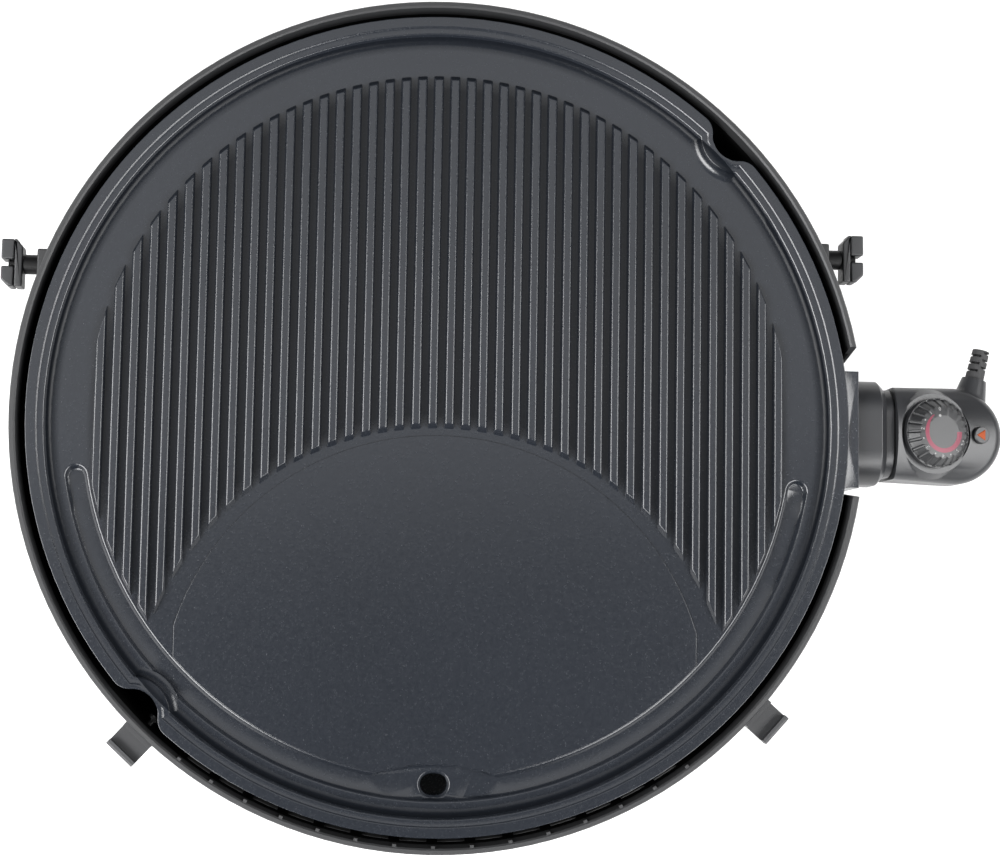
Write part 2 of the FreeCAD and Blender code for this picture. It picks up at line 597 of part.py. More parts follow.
def socket_opening(body, start, long, gap):
    """A round-cornered opening with the collar's outline, drawn in by a gap."""
    tall = "collar_bottom - collar_top"
    block(body, start, f"-collar_half + {gap}", "-collar_bottom + collar_corner", long,
          f"2 * (collar_half - ({gap}))", tall + " - 2 * collar_corner", cut=True)
    block(body, start, "-collar_half + collar_corner", f"-collar_bottom + {gap}", long,
          "2 * (collar_half - collar_corner)", f"{tall} - 2 * ({gap})", cut=True)
    for side in ("-", ""):
        for level in ("-collar_bottom + collar_corner", "-collar_top - collar_corner"):
            drum(body, start, f"{side}(collar_half - collar_corner)", level, f"collar_corner - ({gap})", long,
                 cut=True, turn=ALONG_X)


def socket_collar():
    """The moulded collar on the connector wall, which guides the controller's nose."""
    body = new_body("socket_collar")
    tall = "collar_bottom - collar_top"
    block(body, "0", "-collar_half", "-collar_bottom", "collar_long", "2 * collar_half", tall)
    round_edges(body, "collar_corner", runs_along_x)
    bevel_edges(body, "collar_bevel", lambda edge: edge.BoundBox.XMin > number("collar_long") - TINY)
    socket_opening(body, "collar_floor", "collar_long", "collar_wall")
    for side in ("-", ""):
        drum(body, "-overrun", side + "lead_half", LEAD_LEVEL, "pin_radius + slide_gap",
             "collar_floor + 2 * overrun", cut=True, turn=ALONG_X)
        drum(body, "-overrun", side + "collar_screw_half", "-collar_screw_drop", "screw_radius + slide_gap",
             "collar_floor + 2 * overrun", cut=True, turn=ALONG_X)
    drum(body, "-overrun", "0", "-probe_drop", "probe_radius + slide_gap", "collar_floor + 2 * overrun",
         cut=True, turn=ALONG_X)
    return on_socket(body)


def collar_screws():
    return group("collar_screws", [
        screw(f"collar_screw_{name}", "boss_face + collar_floor", side + "collar_screw_half",
              "rim_height - collar_screw_drop", ALONG_X.multiply(HALF_TURN),
              "screw_long + collar_floor - screw_radius")
        for name, side in (("front", "-"), ("back", ""))])


def nose_block(body, start, end, gap):
    """A rounded block with the collar's outline, drawn in by a gap, between two distances from the wall."""
    return block(body, start, f"-collar_half + {gap}", f"-collar_bottom + {gap}", f"{end} - ({start})",
                 f"2 * (collar_half - ({gap}))", f"collar_bottom - collar_top - 2 * ({gap})")


def controller_nose():
    """The insulating nose that plugs into the collar: a ring, then a drawn-in tail that the covers clasp."""
    body = new_body("controller_nose")
    nose_block(body, NOSE_START, "seam_place + nose_tail", TAIL_GAP)
    round_edges(body, f"collar_corner - ({TAIL_GAP})", runs_along_x)
    nose_block(body, NOSE_START, "seam_place - seam_gap", NOSE_GAP)
    side_face = number(f"collar_half - ({NOSE_GAP})")
    round_edges(body, f"collar_corner - ({NOSE_GAP})",
                lambda edge: runs_along_x(edge) and abs(edge.CenterOfMass.y) > side_face - TINY)
    for side in ("-", ""):
        drum(body, "0", side + "lead_half", LEAD_LEVEL, "pin_radius + sleeve_wall + slide_gap", "seam_place",
             cut=True, turn=ALONG_X)
    drum(body, "0", "0", "-probe_drop", "probe_radius + thread_gap", "seam_place", cut=True, turn=ALONG_X)
    return on_socket(body)


def contact_sleeves():
    """Two sprung sleeves in the nose that slide over the terminal pins."""
    pieces = []
    for name, side in (("front", "-"), ("back", "")):
        at = ("boss_face + seam_place - sleeve_long", side + "lead_half", "rim_height" + LEAD_LEVEL, ALONG_X)
        outer = part("Cylinder", f"sleeve_{name}_outer", *at, Height="sleeve_long",
                     Radius="pin_radius + slide_gap + sleeve_wall - shaft_gap")
        inner = part("Cylinder", f"sleeve_{name}_bore", *at, Radius="pin_radius + shaft_gap",
                     Height="sleeve_long - sleeve_wall")
        pieces.append(less(f"sleeve_{name}", outer, inner))
    return group("contact_sleeves", pieces)


def temperature_probe():
    """The probe rod, from inside the nose into the plate's terminal block."""
    return part_labelled("temperature_probe", part(
        "Cylinder", "probe_rod", "boss_face - probe_reach", "0", "rim_height - probe_drop", ALONG_X,
        Radius="probe_radius", Height="probe_reach + seam_place"))


def part_labelled(name, item):
    item.Label = name
    return item


def cover_blank(body, low, tall):
    """The round-ended block, a little wider at the far end, that either half of the housing starts from."""
    plan = outline(sketch_on(body, "XY_Plane", low), [
        ("seam_place", "-neck_half"), ("seam_place + cover_long", "-cover_half"),
        ("seam_place + cover_long", "cover_half"), ("seam_place", "neck_half")])
    pad(body, plan, tall)
    far = number("seam_place + cover_long")
    round_edges(body, "far_corner", lambda edge: is_upright(edge) and edge.CenterOfMass.x > far - TINY)


def gland(body):
    """The flared boss that the cord guard comes out of."""
    drum(body, "guard_place", "guard_side", "-split_drop", "gland_radius", "gland_long", turn=GUARD_TURN,
         top="gland_tip")


def guard_bore(body):
    """The seat of the cord guard's root, through the gland's boss."""
    drum(body, "guard_place", "guard_side", "-split_drop", "guard_radius + thread_gap",
         "gland_long + overrun", cut=True, turn=GUARD_TURN)


def nose_seat(body):
    """The opening that clasps the nose's tail."""
    socket_opening(body, "seam_place - overrun", "nose_tail + overrun", TAIL_GAP + " - thread_gap")


def cover_room(body, low, tall):
    """The space for the thermostat behind the nose."""
    block(body, "seam_place + nose_tail", "-stat_half - slide_gap", low, "stat_long + slide_gap",
          "2 * (stat_half + slide_gap)", tall, cut=True)


def crown_outline(sketch):
    """The space over the crowned roof, seen along its slope."""
    crown, half, high = number("crown_round"), number("cover_half + overrun"), number("cover_half")
    ridge = App.Vector(0, -number("cover_drop * cos(cover_slope * 1deg)"), 0)
    eave = ridge.y - crown + (crown ** 2 - half ** 2) ** 0.5
    corners = [App.Vector(half, eave, 0), App.Vector(half, high, 0), App.Vector(-half, high, 0),
               App.Vector(-half, eave, 0)]
    for start, end in zip(corners, corners[1:]):
        sketch.addGeometry(Part.LineSegment(start, end))
    sketch.addGeometry(Part.Arc(corners[-1], ridge, corners[0]))
    return sketch


def controller_top_cover():
    """The upper half: a sloping, crowned roof with round edges, the dial's platform and the lens's hole."""
    body = new_body("controller_top_cover")
    cover_blank(body, "-split_drop", "split_drop - cover_drop + overrun")
    down_slope = App.Rotation(App.Vector(1, 0, 0), number("cover_slope"))
    pocket(body, crown_outline(sketch_on(body, "YZ_Plane", "seam_place", down_slope)), "4 * cover_long",
           both_ways=True)
    ridge = App.Vector(number("seam_place"), 0, -number("cover_drop"))
    square = App.Vector(number("sin(cover_slope * 1deg)"), 0, number("cos(cover_slope * 1deg)"))
    along = App.Vector(square.z, 0, -square.x)
    axis = ridge - square * number("crown_round")

    def on_roof(edge):
        reaches = [(point - axis).cross(along).Length for point in edge.discretize(5)]
        crowned = all(abs(reach - number("crown_round")) < NEAR for reach in reaches)
        return crowned and edge.BoundBox.XMax > number("seam_place") + TINY
    round_edges(body, "edge_round", on_roof)
    gland(body)
    # The dial's platform, trimmed at the seam
    drum(body, "knob_place - (seat_depth + platform_tall) * sin(cover_slope * 1deg)", "0",
         KNOB_LEVEL + " - (seat_depth + platform_tall) * cos(cover_slope * 1deg)", "platform_foot",
         "platform_tall", turn=SLOPED, top="platform_radius")
    block(body, "seam_place - cover_half", "-2 * cover_half", "-split_drop", "cover_half", "4 * cover_half",
          "split_drop", cut=True)
    block(body, "0", "-2 * cover_half", "-split_drop - cover_half", "2 * cover_long", "4 * cover_half",
          "cover_half", cut=True)
    drum(body, "knob_place - seat_depth * sin(cover_slope * 1deg)", "0",
         KNOB_LEVEL + " - seat_depth * cos(cover_slope * 1deg)", "seat_radius", "cover_half", cut=True,
         turn=SLOPED)
    nose_seat(body)
    cover_room(body, "-split_drop - overrun", "overrun + cover_roof")
    guard_bore(body)
    drum(body, "knob_place - cover_half * sin(cover_slope * 1deg)", "0",
         KNOB_LEVEL + " - cover_half * cos(cover_slope * 1deg)", "knob_shaft + shaft_gap", "2 * cover_half",
         cut=True, turn=SLOPED)
    drum(body, "lens_place - lens_deep * sin(cover_slope * 1deg)", "0",
         LENS_LEVEL + " - lens_deep * cos(cover_slope * 1deg)", "lens_radius + thread_gap", "cover_half",
         cut=True, turn=SLOPED)
    for x, y in COVER_SCREWS:
        drum(body, x, y, "-split_drop - overrun", "screw_radius + thread_gap", "overrun + cover_roof",
             cut=True)
    return on_socket(body)


def controller_bottom_cover():
    """The lower half: a round-bellied tray that the thermostat lies in."""
    body = new_body("controller_bottom_cover")
    cover_blank(body, "-cover_bottom", "cover_bottom - split_drop")
    round_edges(body, "belly_round", lambda edge: is_level(edge, "-cover_bottom")
                and edge.BoundBox.XMax > number("seam_place") + TINY)
    gland(body)
    block(body, "0", "-2 * cover_half", "-split_drop", "2 * cover_long", "4 * cover_half", "cover_half",
          cut=True)
    nose_seat(body)
    cover_room(body, "-cover_bottom + cover_wall", "cover_bottom")
    guard_bore(body)
    for x, y in COVER_SCREWS:
        drum(body, x, y, "-cover_bottom - overrun", "screw_radius + slide_gap", "cover_bottom", cut=True)
        drum(body, x, y, "-cover_bottom - overrun", "screw_head + slide_gap",
             "overrun + cover_bottom - split_drop - screw_long + cover_roof - screw_radius", cut=True)
    return on_socket(body)


def cover_screws():
    head = "rim_height - split_drop - screw_long + cover_roof - screw_radius"
    return group("cover_screws", [
        screw(f"cover_screw_{step}", "boss_face + " + x, y, head, UPRIGHT)
        for step, (x, y) in enumerate(COVER_SCREWS, 1)])


def thermostat_block():
    """The thermostat, which lies on the lower cover's floor."""
    body = new_body("thermostat_block")
    block(body, "seam_place + nose_tail + slide_gap", "-stat_half", "-cover_bottom + cover_wall",
          "stat_long - slide_gap", "2 * stat_half", "stat_tall")
    return on_socket(body)


def knob_shaft():
    """The thermostat's spindle, square to the sloping seat."""
    deep = "-cover_bottom + cover_wall + stat_tall"
    long = f"({KNOB_LEVEL} - ({deep})) / cos(cover_slope * 1deg)"
    at = (f"boss_face + knob_place - ({KNOB_LEVEL} - ({deep})) * tan(cover_slope * 1deg)", "0",
          f"rim_height + {deep}")
    root = "knob_shaft * sin(cover_slope * 1deg)"
    return part_labelled("knob_shaft", part(
        "Cylinder", "spindle", at[0] + f" + {root} * tan(cover_slope * 1deg)", at[1], at[2] + f" + {root}",
        SLOPED, Radius="knob_shaft",
        Height=f"{long} - {root} / cos(cover_slope * 1deg) + bore_deep - 2 * slide_gap - seat_depth"))


def control_knob():
    """The dial knob: a thin skirt, a fluted cone, a slightly domed face and a blind bore for the spindle."""
    body = new_body("control_knob")
    revolve(body, outline(sketch_on(body, "XZ_Plane"), [
        ("0", "0"), ("knob_radius", "0"), ("knob_radius", "skirt_tall"), ("grip_foot", "skirt_tall"),
        ("crown_radius", "knob_tall - crown_rise"), ("crown_flat", "knob_tall"), ("0", "knob_tall")]))
    lean = "atan((grip_foot - crown_radius) / (knob_tall - crown_rise - skirt_tall)) / 1deg"
    along_cone = App.Rotation(App.Vector(0, 1, 0), -number(lean))
    flute = drum(body, "grip_foot + grip_radius - grip_deep", "0", "skirt_tall", "grip_radius",
                 "2 * knob_tall", cut=True, turn=along_cone)
    ring_of(body, [flute], "grip_count")
    drum(body, "0", "0", "-overrun", "knob_shaft + shaft_gap", "overrun + bore_deep", cut=True)
    return place(body, "boss_face + knob_place + (slide_gap - seat_depth) * sin(cover_slope * 1deg)", "0",
                 f"rim_height + {KNOB_LEVEL} + (slide_gap - seat_depth) * cos(cover_slope * 1deg)", SLOPED)


def pilot_lens():
    body = new_body("pilot_lens")
    drum(body, "0", "0", "-lens_deep", "lens_radius", "lens_deep + lens_proud")
    bevel_edges(body, "lens_bevel", lambda edge: is_level(edge, "lens_proud"))
    return place(body, "boss_face + lens_place", "0", f"rim_height + {LENS_LEVEL}", SLOPED)


def strain_relief():
    """The cord guard: a tapered sleeve cut by slots from either side in turn, its root held in the gland."""
    body = new_body("strain_relief")
    drum(body, "0", "0", "0", "guard_radius", "gland_long")
    drum(body, "0", "0", "gland_long", "guard_radius", "guard_long - gland_long", top="guard_tip")
    drum(body, "0", "0", "-overrun", "guard_bore", "guard_long + 2 * overrun", cut=True)
    pitch = "(guard_long - gland_long - 1.5 * guard_root) / (slot_count - 1)"
    for step in range(int(number("slot_count"))):
        level = f"gland_long + guard_root + {step} * ({pitch})"
        start = "slot_share * guard_radius" if step % 2 else "-guard_radius - overrun"
        block(body, start, "-guard_radius - overrun", level, "(1 - slot_share) * guard_radius + overrun",
              "2 * (guard_radius + overrun)", "slot_gap", cut=True)
    return place(body, "boss_face + guard_place", "guard_side", "rim_height - split_drop", GUARD_TURN)


def base_bowl():
    """The open bowl: tapered wall, socket mouth, front vents with their teeth, and the carrying fins."""
    body = new_body("base_bowl")
    profile = outline(sketch_on(body, "XZ_Plane"), [
        ("0", "base_height"), ("wall_foot", "base_height"), ("bowl_radius", "rim_height"),
        ("bowl_radius - bowl_wall", "rim_height"), ("wall_foot - bowl_wall", BOWL_FLOOR), ("0", BOWL_FLOOR)])
    revolve(body, profile)
    round_edges(body, "bowl_round", lambda edge: is_level(edge, "base_height"))
    round_edges(body, "bowl_round - floor_plate", lambda edge: is_level(edge, BOWL_FLOOR))
    bevel_edges(body, "rim_bevel", lambda edge: is_level(edge, "rim_height"))
    # Fins under the plate, each with a ledge for the heat shield
    turn = turned("fin_angle")
    fins = []
    for inner, outer, low, high in (
            ("ledge_inner", "ledge_outer", "ledge_height - ledge_thick", "ledge_height"),
            ("fin_inner", "fin_outer", "ledge_height", "rim_height - fin_neck"),
            ("fin_inner", "fin_head", "rim_height - fin_neck", "rim_height" + UNDERSIDE)):
        x = f"({inner}) * cos(fin_angle * 1deg) + fin_thick / 2 * sin(fin_angle * 1deg)"
        y = f"({inner}) * sin(fin_angle * 1deg) - fin_thick / 2 * cos(fin_angle * 1deg)"
        fins.append(block(body, x, y, low, f"{outer} - {inner}", "fin_thick", f"{high} - ({low})", turn=turn))
    ring_of(body, fins, "fin_count")
    # Socket mouth on the right and the drip tray's opening at the front
    mouth = outline(sketch_on(body, "YZ_Plane", "bowl_radius + overrun"), [
        ("mouth_shift - mouth_half - front_flare", "rim_height + overrun"),
        ("mouth_shift + mouth_half + back_flare", "rim_height + overrun"),
        ("mouth_shift + mouth_half + back_flare", "rim_height"),
        ("mouth_shift + mouth_half", "rim_height - flare_depth"),
        ("mouth_shift + mouth_foot", "rim_height - mouth_depth"),
        ("mouth_shift - mouth_foot", "rim_height - mouth_depth"),
        ("mouth_shift - mouth_half", "rim_height - flare_depth"),
        ("mouth_shift - mouth_half - front_flare", "rim_height")])
    pocket(body, mouth, "mouth_reach")
    block(body, "-tray_half - slide_gap", "-bowl_radius - overrun", BOWL_FLOOR, "2 * (tray_half + slide_gap)",
          "bowl_radius + overrun - runner_front", "tray_tall + 2 * slide_gap", cut=True)
    # Front vents and teeth
    first = "270 - (vent_count - 1) / 2 * vent_step_angle"
    inner = "bowl_radius - wall_reach"
    vent = block(body, f"({inner}) * cos(({first}) * 1deg) + vent_half * sin(({first}) * 1deg)",
                 f"({inner}) * sin(({first}) * 1deg) - vent_half * cos(({first}) * 1deg)",
                 "rim_height - vent_top - vent_tall", "wall_reach + overrun", "2 * vent_half", "vent_tall",
                 cut=True, turn=turned(first))
    ring_of(body, [vent], "vent_count", "(vent_count - 1) * vent_step_angle")
    edge = "270 - vent_count / 2 * vent_step_angle"
    inner = "bowl_radius - bowl_wall - tooth_proud"
    tooth = block(body, f"({inner}) * cos(({edge}) * 1deg) + tooth_half * sin(({edge}) * 1deg)",
                  f"({inner}) * sin(({edge}) * 1deg) - tooth_half * cos(({edge}) * 1deg)",
                  "rim_height - tooth_top - tooth_tall", "bowl_wall", "2 * tooth_half", "tooth_tall",
                  turn=turned(edge))
    ring_of(body, [tooth], "vent_count + 1", "vent_count * vent_step_angle")
    # Posts and holes for the feet's screws
    x, y = "foot_place * cos(45deg)", "foot_place * sin(45deg)"
    post = drum(body, x, y, BOWL_FLOOR, "post_radius", "post_tall")
    ring_of(body, [post], "4")
    hole = drum(body, x, y, "base_height - overrun", "screw_radius + thread_gap",
                "overrun + floor_plate + post_tall / 2", cut=True)
    ring_of(body, [hole], "4")
    # Holes for the side holders' pins and the front hooks' screws
    for x, side in (("-bowl_radius", "left"), ("0", "right")):
        drum(body, x, side + "_holder_place", "rim_height - holder_drop", "pin_shank + slide_gap",
             "bowl_radius", cut=True, turn=ALONG_X)
    drum(body, "0", "0", "base_height - overrun", "stem_radius + thread_gap", "floor_plate + 2 * overrun",
         cut=True)
    for angle in HOOK_ANGLES:
        drum(body, f"(bowl_radius - wall_reach) * cos(({angle}) * 1deg)",
             f"(bowl_radius - wall_reach) * sin(({angle}) * 1deg)", "rim_height - hook_screw_drop",
             "screw_radius + slide_gap", "wall_reach + overrun", cut=True, turn=outward(angle))
    return body


def outward(angle):
    """A turn that lays an upright piece along the radius at an angle."""
    return turned(angle).multiply(ALONG_X)


def wall_cone(name):
    """The bowl's outer wall as a solid, to fit pieces against it."""
    return part("Cone", name, z="base_height", Radius1="wall_foot", Radius2="bowl_radius",
                Height="rim_height - base_height")


def heat_shield():
    """A thin dished reflector on the fins' ledges, open at the front under the drain."""
    body = new_body("heat_shield")
    revolve(body, outline(sketch_on(body, "XZ_Plane"), [
        ("0", "0"), ("shield_radius", "0"), ("shield_radius", "shield_edge"),
        ("shield_radius - shield_thick", "shield_edge"), ("shield_radius - shield_thick", "shield_thick"),
        ("0", "shield_thick")]))
    block(body, "-shield_gate", "-shield_radius - overrun", "-overrun", "2 * shield_gate",
          "shield_gate_deep + overrun", "shield_edge + 2 * overrun", cut=True)
    return place(body, z="ledge_height")


def tray_blank(name, inset, low, tall):
    """A box with a round front, drawn in from the tray's outside by an inset."""
    box = part("Box", name + "_box", f"-tray_half + {inset}", "-tray_front", low, Height=tall,
               Length=f"2 * (tray_half - ({inset}))", Width=f"tray_front - tray_back - ({inset})")
    front = part("Cylinder", name + "_front", z=low, Radius=f"tray_front - ({inset})", Height=tall)
    return joined(name, "MultiCommon", [box, front])


def drip_tray():
    """The sliding fat tray with its finger lip."""
    low = f"{BOWL_FLOOR} + slide_gap"
    hollow = less("tray_pan", tray_blank("tray_outside", "0", low, "tray_tall"),
                  tray_blank("tray_inside", "tray_wall", low + " + tray_wall", "tray_tall"))
    lip = joined("tray_lip", "MultiCommon", [
        part("Cylinder", "lip_disc", z=low + " + tray_tall - lip_thick", Radius="tray_front + lip_proud",
             Height="lip_thick"),
        part("Box", "lip_box", "-lip_half", "-tray_front - lip_proud", low + " + tray_tall - lip_thick",
             Length="2 * lip_half", Width="tray_front - tray_back", Height="lip_thick")])
    outer = less("tray_lip_ring", lip, part("Cylinder", "lip_inner", z=low, Radius="tray_front - tray_wall",
                                            Height="tray_tall + overrun"))
    return joined("drip_tray", "MultiFuse", [hollow, outer])


def tray_runners():
    """Two guide strips on the bowl's floor beside the tray."""
    return group("tray_runners", [
        part("Box", f"runner_{name}", x, "-runner_front", BOWL_FLOOR, Length="runner_wide",
             Width="runner_front - tray_back", Height="runner_tall")
        for name, x in (("left", "-tray_half - slide_gap - runner_wide"),
                        ("right", "tray_half + slide_gap"))])


def foot(name, x, y):
    """A soft foot with a well for its screw."""
    body = new_body(name)
    drum(body, "0", "0", "0", "foot_tip", "base_height", top="foot_radius")
    bevel_edges(body, "foot_bevel", lambda edge: is_level(edge, "0"))
    drum(body, "0", "0", "-overrun", "well_radius", "overrun + foot_well", cut=True)
    drum(body, "0", "0", "0", "screw_radius + slide_gap", "base_height + overrun", cut=True)
    return place(body, x, y)


def centre_pad():
    """A push-in pad that holds the bowl's floor up in the middle, with a barbed stem."""
    body = new_body("centre_pad")
    floor_top = BOWL_FLOOR + " + thread_gap"
    revolve(body, outline(sketch_on(body, "XZ_Plane"), [
        ("0", "0"), ("foot_tip - foot_bevel", "0"), ("foot_tip", "foot_bevel"), ("foot_tip", "base_height"),
        ("stem_radius", "base_height"), ("stem_radius", floor_top), ("barb_radius", floor_top),
        ("stem_radius", floor_top + " + barb_tall"), ("0", floor_top + " + barb_tall")]))
    return body


def foot_screws():
    return group("foot_screws", [
        screw(name + "_screw", x, y, "foot_well", UPRIGHT,
              "base_height - foot_well + floor_plate + post_tall / 3")
        for name, (x, y) in FEET.items()])


def at_holder(side, out):
    """A point on a side holder's axis, at a distance out from the bowl's upright axis."""
    return (f"{out}" if side == "right" else f"-({out})", side + "_holder_place", "rim_height - holder_drop")


def towards(side):
    return ALONG_X if side == "right" else ALONG_X.multiply(HALF_TURN)


def holder_bracket(side):
    """A block that fits the bowl's slanting wall and carries the holder's pin."""
    name = side + "_holder_bracket"
    face = side + "_bracket_face"
    box = part("Box", name + "_box", face + " - bracket_deep" if side == "right" else "-" + face,
               side + "_holder_place - bracket_half", "rim_height - holder_drop - bracket_tall / 2",
               Length="bracket_deep", Width="2 * bracket_half", Height="bracket_tall")
    fitted = less(name + "_fitted", box, wall_cone(name + "_wall"))
    bore = part("Cylinder", name + "_bore", *at_holder(side, "0"), towards(side),
                Radius="pin_shank + thread_gap", Height="bowl_radius + bracket_deep")
    return less(name, fitted, bore)


def holder_pin(side):
    """A shouldered pin through the bracket and the bowl's wall."""
    name = side + "_holder_pin"
    face = side + "_bracket_face"
    shank = part("Cylinder", name + "_shank", *at_holder(side, face + " - nut_sink"), towards(side),
                 Radius="pin_shank", Height="nut_sink + shoulder_long + pin_in_jaw")
    shoulder = part("Cylinder", name + "_shoulder", *at_holder(side, face), towards(side),
                    Radius="pin_shoulder", Height="shoulder_long")
    return joined(name, "MultiFuse", [shank, shoulder])


def jaw_piece(name, side, start, long, corner):
    """One half of a slotted jaw that turns on the pin, with one upright corner cut off."""
    body = new_body(name)
    low = start if side == "right" else f"-({start}) - {long}"
    block(body, low, "-jaw_half", "-jaw_tall / 2", long, "2 * jaw_half", "jaw_tall")
    face = number(start if corner == "back" else f"{start} + {long}")

    def cut_corner(edge):
        spot = edge.CenterOfMass
        return is_upright(edge) and abs(abs(spot.x) - face) < TINY and (spot.y > 0) == (corner == "back")
    bevel_edges(body, "jaw_bevel", cut_corner)
    drum(body, "-overrun" if side == "right" else "-pin_in_jaw - slide_gap", "0", "0",
         "pin_shank + shaft_gap", "pin_in_jaw + slide_gap + overrun", cut=True, turn=ALONG_X)
    return body


def place_jaw(body, side):
    return place(body, *at_holder(side, side + "_bracket_face + shoulder_long"))


def holder_jaw(side):
    """The inner half of the jaw."""
    return place_jaw(jaw_piece(side + "_holder_jaw", side, "slide_gap", "jaw_long", "back"), side)


def jaw_cap(side):
    """The outer half of the jaw, with a slot right through its outer face and a shallow bed behind it."""
    start = "slide_gap + jaw_long + jaw_seam"
    body = jaw_piece(side + "_jaw_cap", side, start, "cap_long", "front")
    through = f"{start} + cap_long - slot_deep" if side == "right" else f"-({start}) - cap_long - overrun"
    block(body, through, "-jaw_slot / 2", "-jaw_tall", "slot_deep + overrun", "jaw_slot", "2 * jaw_tall",
          cut=True)
    bed = start + " - overrun" if side == "right" else f"-({start}) - cap_long - overrun"
    block(body, bed, "-jaw_slot / 2", "jaw_tall / 2 - slot_bed", "cap_long + 2 * overrun", "jaw_slot",
          "jaw_tall", cut=True)
    return place_jaw(body, side)


def holder_nuts():
    """The nuts on the pins' inner ends."""
    nuts = []
    for side in ("left", "right"):
        at = (*at_holder(side, side + "_bracket_face - nut_sink + slide_gap"), towards(side))
        blank = part("Prism", side + "_nut_blank", *at, Circumradius="nut_radius", Height="nut_tall")
        bore = part("Cylinder", side + "_nut_bore", *at, Radius="pin_shank + thread_gap", Height="nut_tall")
        nuts.append(less(side + "_holder_nut", blank, bore))
    return group("holder_nuts", nuts)


def front_hook(name, angle):
    """An upturned hook on the wall, just under the rim."""
    body = new_body(name + "_blank")
    dip = "-hook_top - hook_dip"
    pad(body, outline(sketch_on(body, "XZ_Plane"), [
        ("hook_back", "-hook_top"), ("hook_face", "-hook_top"), ("hook_face", dip),
        ("hook_tip - hook_thick", dip), ("hook_tip - hook_thick", "-hook_top"), ("hook_tip", "-hook_top"),
        ("hook_tip", dip + " - hook_thick"),
        ("hook_face", dip + " - hook_thick"), ("hook_face", "-hook_top - hook_tail"),
        ("hook_back", "-hook_top - hook_tail")]), "2 * hook_half", both_ways=True)

    def lip_edge(edge):
        box = edge.BoundBox
        across = box.XLength < TINY and box.ZLength < TINY
        return across and box.XMin > number("hook_tip - hook_thick / 2")
    round_edges(body, "hook_round", lip_edge)
    drum(body, "hook_back", "0", "-hook_screw_drop", "screw_radius + thread_gap",
         "hook_face - hook_back - screw_radius / 2", cut=True, turn=ALONG_X)
    place(body, z="rim_height", turn=turned(angle))
    return less(name, body, wall_cone(name + "_wall"))


def hook_screws():
    return group("hook_screws", [
        screw(f"hook_screw_{step}", f"hook_back * cos(({angle}) * 1deg)",
              f"hook_back * sin(({angle}) * 1deg)",
              "rim_height - hook_screw_drop", outward(angle), "screw_long - screw_radius / 2")
        for step, angle in enumerate(HOOK_ANGLES, 1)])


nodes = [
    base_bowl(), heat_shield(), drip_tray(), tray_runners(), foot_screws(),
    *[foot(name, x, y) for name, (x, y) in FEET.items()], centre_pad(),
    grill_plate(), heating_element(), terminal_pins(), socket_collar(), collar_screws(),
    controller_nose(), contact_sleeves(), temperature_probe(), controller_top_cover(),
    controller_bottom_cover(),
    thermostat_block(), knob_shaft(), control_knob(), pilot_lens(), strain_relief(), cover_screws(),
    *[make(side) for make in (holder_bracket, holder_pin, holder_jaw, jaw_cap) for side in ("left", "right")],
    holder_nuts(),
    front_hook("left_front_hook", HOOK_ANGLES[0]), front_hook("right_front_hook", HOOK_ANGLES[1]),
    hook_screws(),
]
doc.recompute()

for item in doc.Objects:
    if "Invalid" in item.State or "Error" in item.State:
        raise RuntimeError(f"{item.Label} did not build: {item.State}")
os.makedirs("parts", exist_ok=True)
for node in nodes:
    if node.Shape.isNull() or not node.Shape.isValid() or not node.Shape.Solids:
        raise RuntimeError(f"{node.Label} has no sound solid")
    node.Shape.exportStep(f"parts/{node.Label}.step")
print(len(nodes), "nodes written")
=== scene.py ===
import json
import math

import bmesh
import bpy
from bpy.props import FloatProperty, FloatVectorProperty, IntProperty, PointerProperty
from mathutils import Matrix, Vector


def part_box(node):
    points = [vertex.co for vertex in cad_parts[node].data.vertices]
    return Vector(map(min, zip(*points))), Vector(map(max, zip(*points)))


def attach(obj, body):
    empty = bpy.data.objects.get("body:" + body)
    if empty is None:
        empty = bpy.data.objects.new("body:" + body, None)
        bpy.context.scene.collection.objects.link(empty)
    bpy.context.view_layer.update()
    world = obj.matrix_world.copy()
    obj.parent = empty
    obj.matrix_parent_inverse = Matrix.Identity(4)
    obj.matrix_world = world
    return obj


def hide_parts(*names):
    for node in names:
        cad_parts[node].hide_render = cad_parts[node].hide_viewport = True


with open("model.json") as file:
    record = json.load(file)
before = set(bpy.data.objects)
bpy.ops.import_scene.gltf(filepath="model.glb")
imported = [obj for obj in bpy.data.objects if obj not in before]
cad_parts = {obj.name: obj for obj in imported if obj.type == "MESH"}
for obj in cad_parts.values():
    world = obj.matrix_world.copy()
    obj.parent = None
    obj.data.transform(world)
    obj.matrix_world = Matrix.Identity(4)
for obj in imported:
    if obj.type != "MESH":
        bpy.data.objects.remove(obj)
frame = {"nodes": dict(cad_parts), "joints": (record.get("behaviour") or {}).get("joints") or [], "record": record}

bl_info = {
    "name": "Table barbecue grill",
    "version": (1, 0, 0),
    "blender": (4, 5, 0),
    "location": "3D View > Sidebar > Barbecue",
    "description": "Gives the table barbecue's solids their ribs, dial marks, soft edges and finishes",
    "category": "Object",
}

NODES = frame["nodes"]
JOINTS = {joint["name"]: joint for joint in frame["joints"]}
BODY_OF = {node: body for body, members in frame["record"]["behaviour"]["bodies"].items() for node in members}
for extra in [thing for thing in bpy.data.objects if thing.type in ("MESH", "LIGHT", "CAMERA")]:
    if extra.name not in NODES:
        bpy.data.objects.remove(extra)
bpy.context.view_layer.update()
RIM_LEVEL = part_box("grill_plate")[1].z
PER_MM = 0.001
# How close a spot lies to a level that it is on, and how close points lie that are one
NEAR = 0.0002
MERGE = 0.000001
# Degrees from which an edge is sharp, on the pieces and on the lamp's window, and within which faces are one
SHARP_FROM = 29
WINDOW_SHARP_FROM = 40
FLAT_WITHIN = 0.6
# Upward part of the normal of a level face
LEVEL = 0.99999
